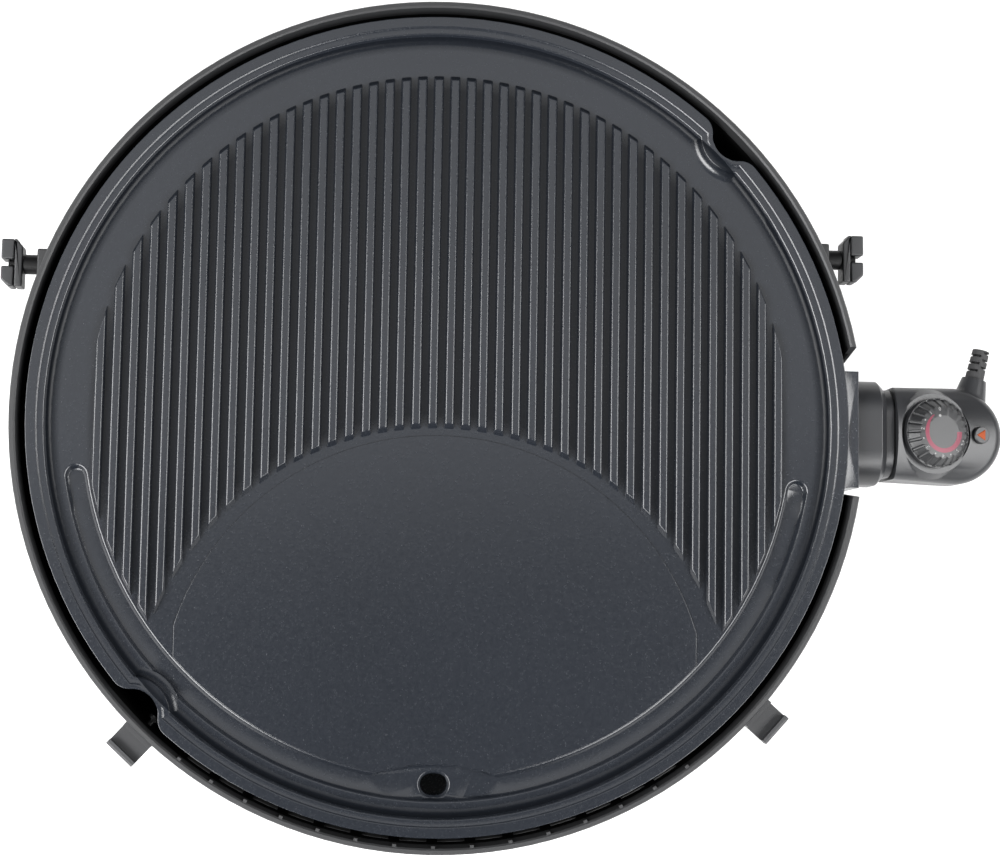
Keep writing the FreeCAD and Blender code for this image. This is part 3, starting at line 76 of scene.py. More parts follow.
# Where the dial's figures, its dots and the ends of its heat arc lie, in degrees from the knob's X axis
FIGURE_ANGLES = (100, 127, 173, 221, 269, 311)
DOT_ANGLES = (105, 151, 197, 247, 290, 331, 340)
ARC_START, ARC_END = 122, 363
# Steps along the heat arc; shares of its width at the start, gained in the first part and gained towards
# the hot end; and how many such first parts make the arc
ARC_STEPS = 48
ARC_THIN, ARC_BODY, ARC_SWELL = 0.15, 0.5, 0.35
ARC_LEADS = 5
# Font size and thickening of a figure, in figure heights
FIGURE_SCALE = 1.4
FIGURE_BOLD = 0.015
# Moulded, printed and metal finishes: colour in the settings, scale of the grain, depth of the bumps in
# metres, least and greatest roughness, drift of the colour, and other inputs of the shader
MOULDINGS = {
    "bowl_shell": ("bowl.shell", 1100.0, 0.00006, (0.42, 0.58), 0.2, {}),
    "bowl_moulding": ("bowl.shell", 1100.0, 0.00006, (0.42, 0.58), 0.2, {}),
    "jaw_moulding": ("bowl.jaw", 1300.0, 0.00004, (0.38, 0.52), 0.2, {}),
    "pin_black": ("bowl.pin", 1400.0, 0.00002, (0.4, 0.55), 0.2, {"Specular IOR Level": 0.2}),
    "soft_rubber": ("bowl.rubber", 900.0, 0.00005, (0.6, 0.8), 0.2, {}),
    "shield_sheet": ("bowl.shield", 300.0, 0.00002, (0.22, 0.36), 0.1, {"Metallic": 1.0}),
    "plain_steel": ("bowl.steel", 600.0, 0.00001, (0.28, 0.42), 0.15, {"Metallic": 1.0}),
    "controller_shell": ("controller.shell", 1500.0, 0.00004, (0.3, 0.42), 0.2, {}),
    "knob_moulding": ("controller.knob", 1800.0, 0.00003, (0.34, 0.46), 0.2, {}),
    "dial_print": ("controller.mark", 1500.0, 0.00001, (0.45, 0.6), 0.08, {}),
    "heat_print": ("controller.heat", 1500.0, 0.00001, (0.4, 0.55), 0.12, {}),
    "sleeve_brass": ("controller.brass", 600.0, 0.00001, (0.25, 0.4), 0.15, {"Metallic": 1.0}),
    "stat_moulding": ("controller.stat", 700.0, 0.00004, (0.5, 0.7), 0.2, {}),
    "lamp_window": ("controller.window", 900.0, 0.00001, (0.4, 0.5), 0.1, {"Specular IOR Level": 0.15}),
    "pale_floor": ("stage.floor", 60.0, 0.0001, (0.7, 0.85), 0.02, {}),
}
# Sprayed coatings: ground colour in the settings, scale of the grain, depth of the bumps in metres, least and
# greatest roughness
COATINGS = {
    "cast_coating": ("plate.coat", 1100.0, 0.00004, (0.19, 0.29)),
    "tray_enamel": ("bowl.enamel", 1600.0, 0.00001, (0.2, 0.32)),
}
GROUPS = {}
FINISHES = {}


def mm(value, told):
    """A length that is given in millimetres and kept in metres."""
    return FloatProperty(description=told, default=value * PER_MM, unit="LENGTH", precision=5)


def colour(value, told):
    return FloatVectorProperty(description=told, default=value, size=4, min=0, max=1, subtype="COLOR")


def number(value, told):
    return FloatProperty(description=told, default=value)


class PlateSettings(bpy.types.PropertyGroup):
    """Sizes and colours of the cast grill plate."""
    rib_count: IntProperty(description="Number of grill ribs", default=42, min=2)
    rib_pitch: mm(8.64, "Distance between neighbouring ribs")
    rib_top: mm(4.3, "Width of a rib's top before its edges are rounded")
    rib_base: mm(6.0, "Width of a rib at its foot")
    rib_height: mm(3.2, "Height of a rib over the floor")
    rib_rounding: mm(1.3, "Radius of a rib's edges")
    rib_sink: mm(0.6, "How far a rib reaches below the floor")
    end_lean: mm(2.6, "How far a rib's end leans back over its height")
    end_round: mm(0.5, "Rounding of the edges at a rib's ends")
    field_radius: mm(183.3, "Radius of the round rib field")
    bay_radius: mm(155.7, "Radius of the bay that the smooth zone takes out")
    bay_drop: mm(160, "Distance from the plate's middle to the bay's middle")
    floor_drop: mm(5.5, "Depth of the floor under the flange")
    channel_radius: mm(190.5, "Radius of the fat channel's middle")
    channel_reach: mm(7, "Half the width in which the channel's edges lie")
    channel_depth: mm(3, "Depth of the channel under the floor")
    channel_round: mm(0.9, "Rounding of the channel's upper edges")
    rim_inner: mm(192, "Radius outside which the rim's edges lie")
    rim_drop: mm(0.9, "Drop of the rim's inner step")
    edge_round: mm(0.42, "Rounding of the rim's edges")
    lip_radius: mm(206, "Radius inside which the rim's lower edge lies")
    lip_round: mm(0.8, "Rounding of the rim's lower edge")
    step_round: mm(0.3, "Rounding of the small steps in the floor")
    # Painted shade on the coating: in the hollow under the rim and on the floor between the ribs, its colour and
    # specular level are turned down to stand in for shade; the coating is the same there
    hollow_start: mm(197, "Radius where the rim's hollow starts to be dull")
    hollow_deep: mm(202.5, "Radius where the hollow's coating is dullest")
    hollow_end: mm(203.8, "Radius where the hollow ends under the rim's edge")
    valley_dull: number(0.62, "How dull the coating is at the floor between the ribs")
    valley_fade: mm(8, "Length over which the valleys' dulling starts")
    gloss: number(0.6, "Specular level of the coating")
    # Specular level and share of the colour that are left where the painted shade is deepest
    dull_gloss: number(0.06, "Specular level where the coating is dullest")
    dull_shade: number(0.5, "Share of the colour left where the coating is dullest")
    coat: colour((0.0094, 0.0112, 0.0150, 1), "Dark ground of the non-stick coating")
    fleck: colour((0.013, 0.0155, 0.0195, 1), "Light flecks in the coating")


class ControllerSettings(bpy.types.PropertyGroup):
    """Sizes and colours of the plug-in controller."""
    shell: colour((0.0165, 0.0172, 0.0190, 1), "Moulded housing")
    knob: colour((0.0100, 0.0104, 0.0116, 1), "Dial knob")
    mark: colour((0.20, 0.20, 0.20, 1), "Printed figures and dots")
    heat: colour((0.125, 0.006, 0.024, 1), "Printed arc that widens with the heat")
    window: colour((0.15, 0.026, 0.004, 1), "Pilot lamp's window")
    brass: colour((0.74, 0.56, 0.27, 1), "Contact sleeves")
    stat: colour((0.62, 0.58, 0.52, 1), "Thermostat's moulding")
    shell_round: mm(0.4, "Rounding of the housing's edges")
    knob_round: mm(0.25, "Rounding of the knob's edges")
    print_lift: mm(0.05, "How far a print stands out of the face and sinks in")
    window_reach: mm(3.3, "Distance of the window's corners from its middle")
    window_tall: mm(0.9, "Height of the window")
    window_sunk: mm(0.45, "How deep the window sits in the lens")
    window_round: mm(0.35, "Rounding of the window's edges")
    window_glow: number(1.2, "Light that the window gives off")
    figure_height: mm(2.0, "Height of the dial's figures")
    figure_radius: mm(12.4, "Distance of the figures from the knob's axis")
    dot_radius: mm(0.42, "Radius of a dial dot")
    start_radius: mm(0.75, "Radius of the dot at the start of the dial")
    start_reach: mm(9.0, "Distance of the start dot from the knob's axis")
    arc_radius: mm(10.9, "Outer radius of the heat arc")
    arc_width: mm(3.2, "Width of the heat arc at its hot end")
    liner_gap: mm(0.05, "Gap between the cord's bore and the liner")
    liner_wall: mm(0.4, "Wall of the tube inside the cord guard")
    liner_short: mm(0.5, "How far the liner ends inside the cord guard")
    knob_height: mm(9.2, "Height of the knob over its seat")
    seat_gap: mm(0.4, "Gap between the knob and its seat")
    crown_flat: mm(9, "Radius of the knob's flat middle")
    crown_radius: mm(14, "Radius of the knob's face")
    crown_rise: mm(0.8, "Rise of the knob's face towards its middle")


class BowlSettings(bpy.types.PropertyGroup):
    """Sizes and colours of the bowl and what is on it."""
    shell: colour((0.018, 0.0184, 0.0196, 1), "Moulded bowl")
    jaw: colour((0.018, 0.0186, 0.0202, 1), "Side jaws and front hooks")
    rubber: colour((0.018, 0.018, 0.019, 1), "Feet and cord guard")
    enamel: colour((0.022, 0.023, 0.025, 1), "Drip tray")
    # Painted shade: the bowl's inside is the same moulding as its outside; this near-black colour stands in for
    # the shade inside the bowl
    inside: colour((0.003, 0.003, 0.003, 1), "Matt black inside of the bowl")
    pin: colour((0.003, 0.003, 0.0033, 1), "Black pins, nuts and hook screws")
    shield: colour((0.80, 0.80, 0.81, 1), "Bright sheet of the heat shield")
    steel: colour((0.58, 0.57, 0.55, 1), "Heater, screws and other plain steel")
    gloss: number(0.5, "Specular level of the bowl's outside")
    # Specular level and fade of the painted shade inside the bowl
    inside_gloss: number(0.05, "Specular level of the bowl's inside")
    inside_fade: mm(0.6, "Width over which the inside starts")
    edge_round: mm(0.4, "Rounding of the bowl's edges")
    bracket_round: mm(1.0, "Rounding of the side brackets' edges")
    jaw_round: mm(0.9, "Rounding of the jaws' and caps' edges")
    hook_round: mm(0.5, "Rounding of the front hooks' edges")
    pin_round: mm(0.3, "Rounding of the pins' edges")
    # Where the painted shade inside the bowl starts at the rim, and how far it reaches into the vents
    rim_inner: mm(218.3, "Radius where the black inside starts at the rim")
    vent_drop: mm(8, "Depth under the rim where the vents' sides are black too")
    vent_reach: mm(2.9, "How far the black goes out into the vents")
    wall_lean: number(0.159, "How much the wall's radius falls per unit of depth")


class StageSettings(bpy.types.PropertyGroup):
    """Camera, floor and lights."""
    distance: number(1.0, "Distance from the camera to the plate in metres")
    tilt: number(6.2, "Camera's lean from straight above, in degrees")
    towards: number(-116.4, "Compass angle that the camera leans to, in degrees from X")
    roll: number(1.1, "Camera's roll, in degrees")
    lens: number(69.45, "Focal length in millimetres")
    sensor: number(36.0, "Width of the sensor in millimetres")
    shift_x: number(0.0587, "Camera shift across")
    shift_y: number(-0.0092, "Camera shift up")
    floor: colour((0.35, 0.35, 0.35, 1), "Pale floor")
    floor_half: number(4.0, "Half the floor's width in metres")
    glow: number(0.75, "Light that the backlit floor and the backdrop give off")
    sky: number(0.08, "Strength of the even light from above")
    horizon_top: number(0.22, "How high, as a share, the pale backdrop reaches")
    left: number(64.0, "Power of the left softbox in watts")
    left_turn: number(203.0, "Left softbox's compass angle in degrees")
    right: number(45.0, "Power of the right softbox in watts")
    right_turn: number(337.0, "Right softbox's compass angle in degrees")
    side_rise: number(41.0, "Side softboxes' elevation in degrees")
    side_wide: number(1.8, "Side softboxes' width in metres")
    side_tall: number(0.8, "Side softboxes' height in metres")
    back: number(5.0, "Power of the back softbox in watts")
    back_turn: number(95.0, "Back softbox's compass angle in degrees")
    back_rise: number(72.0, "Back softbox's elevation in degrees")
    back_wide: number(1.6, "Back softbox's width in metres")
    back_tall: number(0.9, "Back softbox's height in metres")
    away: number(1.5, "Distance of the softboxes from the plate in metres")


def new_tree(name, kind, inputs, outputs):
    """A node group with named sockets of given kinds; gives the group, its input and its output."""
    tree = bpy.data.node_groups.new(name, kind)
    for way, sockets in (("INPUT", inputs), ("OUTPUT", outputs)):
        for label, socket_kind in sockets.items():
            tree.interface.new_socket(label, in_out=way, socket_type="NodeSocket" + socket_kind)
    return tree, tree.nodes.new("NodeGroupInput"), tree.nodes.new("NodeGroupOutput")


def add_node(tree, kind, links=None, **settings):
    """A node with its properties set and its inputs linked or filled."""
    node = tree.nodes.new(kind)
    for key, value in settings.items():
        setattr(node, key, value)
    for key, value in (links or {}).items():
        if isinstance(value, bpy.types.NodeSocket):
            tree.links.new(value, node.inputs[key])
        else:
            node.inputs[key].default_value = value
    return node


def calculate(tree, operation, *values):
    """A Math node's result."""
    return add_node(tree, "ShaderNodeMath", dict(enumerate(values)), operation=operation).outputs[0]


def plus(tree, first, second):
    return calculate(tree, "ADD", first, second)


def times(tree, first, second):
    return calculate(tree, "MULTIPLY", first, second)


def minus(tree, first, second):
    return calculate(tree, "SUBTRACT", first, second)


def ramp(tree, value, start, end, low=0.0, high=1.0):
    """A Map Range node's result, which goes from low to high between start and end."""
    return add_node(tree, "ShaderNodeMapRange", {
        "Value": value, "From Min": start, "From Max": end, "To Min": low, "To Max": high}).outputs[0]


def spread(tree, value, low, high):
    """A value from 0 to 1, spread from low to high."""
    return ramp(tree, value, 0.0, 1.0, low, high)


def noise(tree, vector, scale, **others):
    """A Noise node's value."""
    return add_node(tree, "ShaderNodeTexNoise", {"Vector": vector, "Scale": scale, **others}).outputs["Fac"]


def scaled(tree, vector, scale):
    """A vector or a colour times a value."""
    return add_node(tree, "ShaderNodeVectorMath", {0: vector, "Scale": scale}, operation="SCALE").outputs[0]


def mixed(tree, share, first, second):
    """Two colours, mixed by a share."""
    return add_node(tree, "ShaderNodeMix", {"Factor": share, "A": first, "B": second},
                    data_type="RGBA").outputs["Result"]


def coat_flecks_group():
    """Fine flecks of a sprayed coating: a mask of light grains and a bumpy height."""
    tree, given, made = new_tree("coat_flecks", "ShaderNodeTree", {
        "Vector": "Vector", "Grain": "Float", "Share": "Float"}, {"Mask": "Float", "Height": "Float"})
    place = scaled(tree, given.outputs["Vector"], given.outputs["Grain"])
    cells = add_node(tree, "ShaderNodeTexVoronoi", {"Vector": place, "Scale": 1.0})
    chance = add_node(tree, "ShaderNodeSeparateColor", {"Color": cells.outputs["Color"]})
    lit = calculate(tree, "LESS_THAN", chance.outputs["Red"], given.outputs["Share"])
    core = ramp(tree, cells.outputs["Distance"], 0.25, 0.6, 1.0, 0.0)
    mist = noise(tree, place, 0.55, Detail=3.0)
    mask = times(tree, times(tree, lit, core), mist)
    height = plus(tree, times(tree, mask, 0.5), mist)
    tree.links.new(mask, made.inputs["Mask"])
    tree.links.new(height, made.inputs["Height"])
    return tree


def moulded_grain_group():
    """Spark-eroded grain of a moulding: a height and an even tone."""
    tree, given, made = new_tree("moulded_grain", "ShaderNodeTree", {"Vector": "Vector", "Grain": "Float"},
                                 {"Height": "Float", "Tone": "Float"})
    fine = noise(tree, given.outputs["Vector"], given.outputs["Grain"], Detail=2.0, Roughness=0.6)
    broad = noise(tree, given.outputs["Vector"], 24.0, Detail=2.0)
    tone = plus(tree, times(tree, fine, 0.5), times(tree, broad, 0.5))
    tree.links.new(fine, made.inputs["Height"])
    tree.links.new(tone, made.inputs["Tone"])
    return tree


def handled_tone_group():
    """A colour that drifts a little over the surface, as cleaned and handled surfaces do."""
    tree, given, made = new_tree("handled_tone", "ShaderNodeTree", {
        "Vector": "Vector", "Colour": "Color", "Tone": "Float", "Drift": "Float"}, {"Colour": "Color"})
    cloud = noise(tree, given.outputs["Vector"], 9.0, Detail=3.0)
    both = plus(tree, minus(tree, cloud, 0.5), minus(tree, given.outputs["Tone"], 0.5))
    gain = calculate(tree, "MULTIPLY_ADD", both, given.outputs["Drift"], 1.0)
    tree.links.new(scaled(tree, given.outputs["Colour"], gain), made.inputs["Colour"])
    return tree


def from_axis_group():
    """Distance from the upright axis through the middle, and height."""
    tree, given, made = new_tree("from_axis", "ShaderNodeTree", {"Vector": "Vector"},
                                 {"Radius": "Float", "Height": "Float"})
    place = add_node(tree, "ShaderNodeSeparateXYZ", {0: given.outputs["Vector"]}).outputs
    flat = add_node(tree, "ShaderNodeCombineXYZ", {"X": place["X"], "Y": place["Y"]})
    reach = add_node(tree, "ShaderNodeVectorMath", {0: flat.outputs[0]}, operation="LENGTH")
    tree.links.new(reach.outputs["Value"], made.inputs["Radius"])
    tree.links.new(place["Z"], made.inputs["Height"])
    return tree


def group_node(tree, name, links):
    """The outputs of a shared shader group's node; the group is built when it is first asked for."""
    makers = {"coat_flecks": coat_flecks_group, "moulded_grain": moulded_grain_group,
              "handled_tone": handled_tone_group, "from_axis": from_axis_group}
    if name not in GROUPS:
        GROUPS[name] = makers[name]()
    return add_node(tree, "ShaderNodeGroup", links, node_tree=GROUPS[name]).outputs


def start_material(name, sockets):
    """A material with its shader's constants set; gives the material, tree, shader and coordinates."""
    material = bpy.data.materials.new(name)
    material.use_nodes = True
    tree = material.node_tree
    shader = tree.nodes["Principled BSDF"]
    for key, value in sockets.items():
        shader.inputs[key].default_value = value
    return material, tree, shader, tree.nodes.new("ShaderNodeTexCoord").outputs["Object"]


def set_surface(tree, shader, base, tone, rough, height, depth):
    """Link a shader's colour, its roughness, which follows a tone, and its bumps."""
    tree.links.new(base, shader.inputs["Base Color"])
    tree.links.new(spread(tree, tone, *rough), shader.inputs["Roughness"])
    bumps = add_node(tree, "ShaderNodeBump", {"Height": height, "Distance": depth, "Strength": 1.0})
    tree.links.new(bumps.outputs[0], shader.inputs["Normal"])


def set_colour(path):
    """A colour in the settings."""
    group, name = path.split(".")
    return getattr(getattr(bpy.context.scene, "grill_" + group), name)


def moulding(name):
    """A moulded or plain finish: grain in the bump, drift in the colour, both in the roughness."""
    base, grain, depth, rough, drift, sockets = MOULDINGS[name]
    material, tree, shader, where = start_material(name, sockets)
    texture = group_node(tree, "moulded_grain", {"Vector": where, "Grain": grain})
    tinted = group_node(tree, "handled_tone", {
        "Vector": where, "Colour": set_colour(base), "Tone": texture["Tone"], "Drift": drift})
    set_surface(tree, shader, tinted["Colour"], texture["Tone"], rough, texture["Height"], depth)
    return material


def coating(name):
    """A sprayed coating with light flecks."""
    ground, grain, depth, rough = COATINGS[name]
    material, tree, shader, where = start_material(name, {})
    flecks = group_node(tree, "coat_flecks", {"Vector": where, "Grain": grain, "Share": 0.35})
    tinted = group_node(tree, "handled_tone", {
        "Vector": where, "Colour": set_colour(ground), "Tone": flecks["Height"], "Drift": 0.3})
    base = mixed(tree, flecks["Mask"], tinted["Colour"], set_colour("plate.fleck"))
    set_surface(tree, shader, base, flecks["Height"], rough, flecks["Height"], depth)
    return material


def placed_parts(material):
    """A material's tree, shader and coordinates, and how far from the axis and how high a spot lies."""
    tree = material.node_tree
    where = next(node for node in tree.nodes if node.type == "TEX_COORD").outputs["Object"]
    place = group_node(tree, "from_axis", {"Vector": where})
    return tree, tree.nodes["Principled BSDF"], where, place["Radius"], place["Height"]


def cast_coating():
    """The plate's coating with painted shade: its colour and specular level are turned down in the hollow under
    the rim and on the floor between the ribs, where shade falls.
    """
    plate = bpy.context.scene.grill_plate
    material = coating("cast_coating")
    tree, shader, where, across, height = placed_parts(material)
    # Painted shade in the hollow under the rim, deepest near the rim's edge
    hollow = times(tree, ramp(tree, across, plate.hollow_start, plate.hollow_deep),
                   calculate(tree, "LESS_THAN", across, plate.hollow_end))
    moved = add_node(tree, "ShaderNodeVectorMath", {0: where, 1: (0, plate.bay_drop, 0)}, operation="ADD")
    from_bay = group_node(tree, "from_axis", {"Vector": moved.outputs[0]})["Radius"]
    # Painted shade on the floor between the ribs, inside the rib field and the bay, fading out up the ribs' sides
    inside = [ramp(tree, minus(tree, *pair), 0.0, plate.valley_fade)
              for pair in ((from_bay, plate.bay_radius), (plate.field_radius, across))]
    floor = RIM_LEVEL - plate.floor_drop
    low = ramp(tree, height, floor, floor + plate.rib_height, plate.valley_dull, 0.0)
    valley = times(tree, times(tree, *inside), low)
    # Where shade is painted, the colour and the specular level are turned down
    shaded_by_paint = calculate(tree, "MAXIMUM", hollow, valley)
    plain = shader.inputs["Base Color"].links[0].from_socket
    shade = scaled(tree, plain, spread(tree, shaded_by_paint, 1.0, plate.dull_shade))
    tree.links.new(shade, shader.inputs["Base Color"])
    tree.links.new(spread(tree, shaded_by_paint, plate.gloss, plate.dull_gloss), shader.inputs["Specular IOR Level"])
    return material


def bowl_shell():
    """The bowl's moulding with painted shade inside the rim's inner edge, where its colour turns near black and
    its specular level drops.
    """
    bowl = bpy.context.scene.grill_bowl
    material = moulding("bowl_shell")
    tree, shader, where, across, height = placed_parts(material)
    # Painted shade: near black inside the wall, which leans in with depth and reaches out into the vents under the
    # rim
    depth = minus(tree, RIM_LEVEL, height)
    cut = times(tree, calculate(tree, "GREATER_THAN", depth, bowl.vent_drop), bowl.vent_reach)
    wall = plus(tree, cut, minus(tree, bowl.rim_inner, times(tree, depth, bowl.wall_lean)))
    inside = ramp(tree, minus(tree, wall, across), 0.0, bowl.inside_fade)
    plain = shader.inputs["Base Color"].links[0].from_socket
    tree.links.new(mixed(tree, inside, plain, bowl.inside), shader.inputs["Base Color"])
    tree.links.new(spread(tree, inside, bowl.gloss, bowl.inside_gloss), shader.inputs["Specular IOR Level"])
    return material


def glowing(name, light, strength):
    """A moulding that gives off light."""
    material = moulding(name)
    shader = material.node_tree.nodes["Principled BSDF"]
    shader.inputs["Emission Color"].default_value = light
    shader.inputs["Emission Strength"].default_value = strength
    return material


def lamp_finish():
    """The pilot lamp's window, which glows in its own colour."""
    control = bpy.context.scene.grill_controller
    return glowing("lamp_window", control.window, control.window_glow)


def finish(name):
    """A finish by its name, made once."""
    special = {"cast_coating": cast_coating, "bowl_shell": bowl_shell, "lamp_window": lamp_finish}
    if name not in FINISHES:
        plain = coating if name in COATINGS else moulding
        FINISHES[name] = special[name]() if name in special else plain(name)
    return FINISHES[name]


def placed(name, data):
    """A new object in the scene."""
    thing = bpy.data.objects.new(name, data)
    bpy.context.scene.collection.objects.link(thing)
    return thing


def as_mesh(name, shape):
    """A shape as mesh data; the shape is freed."""
    mesh = bpy.data.meshes.new(name)
    shape.to_mesh(mesh)
    shape.free()
    return mesh


def cover(thing, finish_name):
    thing.data.materials.clear()
    thing.data.materials.append(finish(finish_name))


def dress(finish_name, *nodes):
    """Give nodes that keep their shape a finish."""
    for node in nodes:
        cover(NODES[node], finish_name)


def new_piece(name, mesh, body, finish_name):
    """A finished piece at the origin that rides on a body."""
    thing = placed(name, mesh)
    cover(thing, finish_name)
    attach(thing, body)
    return thing


def round_sharp(shape, width, segments, chosen, clamp):
    """Round the sharp outer edges of a mesh that are chosen by their middle."""
    sharp = [edge for edge in shape.edges
             if edge.is_convex and edge.calc_face_angle(0) > math.radians(SHARP_FROM)
             and chosen((edge.verts[0].co + edge.verts[1].co) / 2)]
    bmesh.ops.bevel(shape, geom=sharp, offset=width, offset_type="OFFSET", segments=segments, profile=0.5,
                    affect="EDGES", clamp_overlap=clamp, loop_slide=False)


def everywhere(spot):
    """The choice of all edges."""
    return True


def shaded(mesh):
    """The mesh with smooth shading in which large faces keep their own normals."""
    mesh.set_sharp_from_angle(angle=math.radians(SHARP_FROM))
    thing = placed(mesh.name, mesh)
    even = thing.modifiers.new("even", "WEIGHTED_NORMAL")
    even.weight = 100
    even.keep_sharp = True
    return plain_mesh(thing)


def flatten(shape):
    """Make one face of faces that lie flat together."""
    bmesh.ops.dissolve_limit(shape, angle_limit=math.radians(FLAT_WITHIN), verts=shape.verts,
                             edges=shape.edges)


def clear_away(shape, chosen):
    """Take away the faces chosen by their middle and close what they leave open."""
    bmesh.ops.delete(shape, geom=[face for face in shape.faces if chosen(face.calc_center_median())],
                     context="FACES")
    bmesh.ops.edgeloop_fill(shape, edges=[edge for edge in shape.edges if edge.is_boundary])
    bmesh.ops.recalc_face_normals(shape, faces=shape.faces)
    flatten(shape)


def soften(node, finish_name, *rounds, cleared=None):
    """A copy of a node whose sharp edges are rounded; it stands for the node.

    Each round is a width, a number of segments and a choice by place. Without a choice it is for all edges,
    and narrower where there is little room."""
    shape = bmesh.new()
    shape.from_mesh(NODES[node].data)
    bmesh.ops.remove_doubles(shape, verts=shape.verts, dist=MERGE)
    bmesh.ops.dissolve_degenerate(shape, edges=shape.edges, dist=MERGE)
    flatten(shape)
    if cleared:
        clear_away(shape, cleared)
    for width, segments, *choice in rounds:
        round_sharp(shape, width, segments, choice[0] if choice else everywhere, not choice)
    for face in shape.faces:
        face.smooth = len(face.verts) < 5 and abs(face.normal.z) < LEVEL
    bmesh.ops.triangulate(shape, faces=[face for face in shape.faces if len(face.verts) > 4])
    mesh = shaded(as_mesh(node + "_soft", shape))
    piece = new_piece(node + "_soft", mesh, BODY_OF[node], finish_name)
    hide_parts(node)


def plain_mesh(thing):
    """The evaluated mesh of an object, as plain data; the object is removed."""
    bpy.context.view_layer.update()
    mesh = bpy.data.meshes.new_from_object(thing.evaluated_get(bpy.context.evaluated_depsgraph_get()))
    source = thing.data
    bpy.data.objects.remove(thing)
    if isinstance(source, bpy.types.Mesh):
        bpy.data.meshes.remove(source)
    return mesh


def grown(name, mesh, tree, values):
    """The plain mesh that a Geometry Nodes tree makes from a guide mesh."""
    thing = placed(name, mesh)
    modifier = thing.modifiers.new(name, "NODES")
    modifier.node_group = tree
    for item in tree.interface.items_tree:
        if item.item_type == "SOCKET" and item.in_out == "INPUT" and item.name in values:
            modifier[item.identifier] = values[item.name]
    made = plain_mesh(thing)
    made.name = name
    return made


def arc_reach(tree, across, radius, sign, drop=0.0):
    """How far along Y a round edge lies at a distance across: sign * sqrt(radius^2 - across^2) - drop."""
    square = minus(tree, times(tree, radius, radius), times(tree, across, across))
    root = calculate(tree, "SQRT", calculate(tree, "MAXIMUM", square, 0.0))
    return minus(tree, times(tree, root, sign), drop)


def named(tree, name):
    """A number that the guides carry."""
    return add_node(tree, "GeometryNodeInputNamedAttribute", {"Name": name}, data_type="FLOAT").outputs[0]


def either(tree, share, yes, no):
    """One value where the share is 1 and another where it is 0."""
    return plus(tree, times(tree, share, yes), times(tree, minus(tree, 1.0, share), no))


def close_tree(tree, geometry, material, made):
    """End a tree with real geometry in its material."""
    real = add_node(tree, "GeometryNodeRealizeInstances", {"Geometry": geometry})
    covered = add_node(tree, "GeometryNodeSetMaterial", {"Geometry": real.outputs[0], "Material": material})
    tree.links.new(covered.outputs[0], made.inputs[0])
    return tree


def rib_tree():
    """Ribs along guide lines: a rounded trapezoid swept along each, its ends cut to the field and the bay."""
    sizes = ("Top", "Base", "Height", "Rounding", "Sink", "End lean", "Field radius", "Bay radius",
             "Bay drop", "Floor level", "Bay half")
    tree, given, made = new_tree("grill_ribs", "GeometryNodeTree", {
        "Guides": "Geometry", **dict.fromkeys(sizes, "Float"), "Finish": "Material"}, {"Ribs": "Geometry"})
    size = given.outputs
    tall = plus(tree, size["Height"], size["Sink"])
    profile = add_node(tree, "GeometryNodeCurvePrimitiveQuadrilateral", {
        "Bottom Width": size["Top"], "Top Width": size["Base"], "Height": tall, "Offset": 0.0},
        mode="TRAPEZOID")
    lowered = minus(tree, size["Sink"], times(tree, tall, 0.5))
    offset = add_node(tree, "ShaderNodeCombineXYZ", {"Y": lowered})
    raised = add_node(tree, "GeometryNodeTransform", {
        "Geometry": profile.outputs[0], "Translation": offset.outputs[0]})
    rounded = add_node(tree, "GeometryNodeFilletCurve", {
        "Curve": raised.outputs[0], "Radius": size["Rounding"], "Count": 6, "Limit Radius": True},
        mode="POLY")
    lines = add_node(tree, "GeometryNodeMeshToCurve", {"Mesh": size["Guides"]})
    upright = add_node(tree, "GeometryNodeSetCurveNormal", {"Curve": lines.outputs[0]}, mode="Z_UP")
    swept = add_node(tree, "GeometryNodeCurveToMesh", {
        "Curve": upright.outputs[0], "Profile Curve": rounded.outputs[0], "Fill Caps": True})
    axis, back = named(tree, "rib_axis"), named(tree, "rib_back")
    spot = add_node(tree, "GeometryNodeInputPosition").outputs[0]
    place = add_node(tree, "ShaderNodeSeparateXYZ", {0: spot}).outputs
    in_bay = calculate(tree, "LESS_THAN", calculate(tree, "ABSOLUTE", axis), size["Bay half"])
    field_front, field_back, bay_front = [
        minus(tree, *(arc_reach(tree, across, *edge) for across in (place["X"], axis)))
        for edge in ((size["Field radius"], -1.0), (size["Field radius"], 1.0),
                     (size["Bay radius"], 1.0, size["Bay drop"]))]
    slant = either(tree, back, field_back, either(tree, in_bay, bay_front, field_front))
    above = calculate(tree, "DIVIDE", minus(tree, place["Z"], size["Floor level"]), size["Height"])
    way = calculate(tree, "MULTIPLY_ADD", back, -2.0, 1.0)
    lean = times(tree, times(tree, above, size["End lean"]), way)
    shift = add_node(tree, "ShaderNodeCombineXYZ", {"Y": plus(tree, slant, lean)})
    cut = add_node(tree, "GeometryNodeSetPosition", {
        "Geometry": swept.outputs[0], "Offset": shift.outputs[0]})
    smooth = add_node(tree, "GeometryNodeSetShadeSmooth", {"Geometry": cut.outputs[0]})
    return close_tree(tree, smooth.outputs[0], size["Finish"], made)


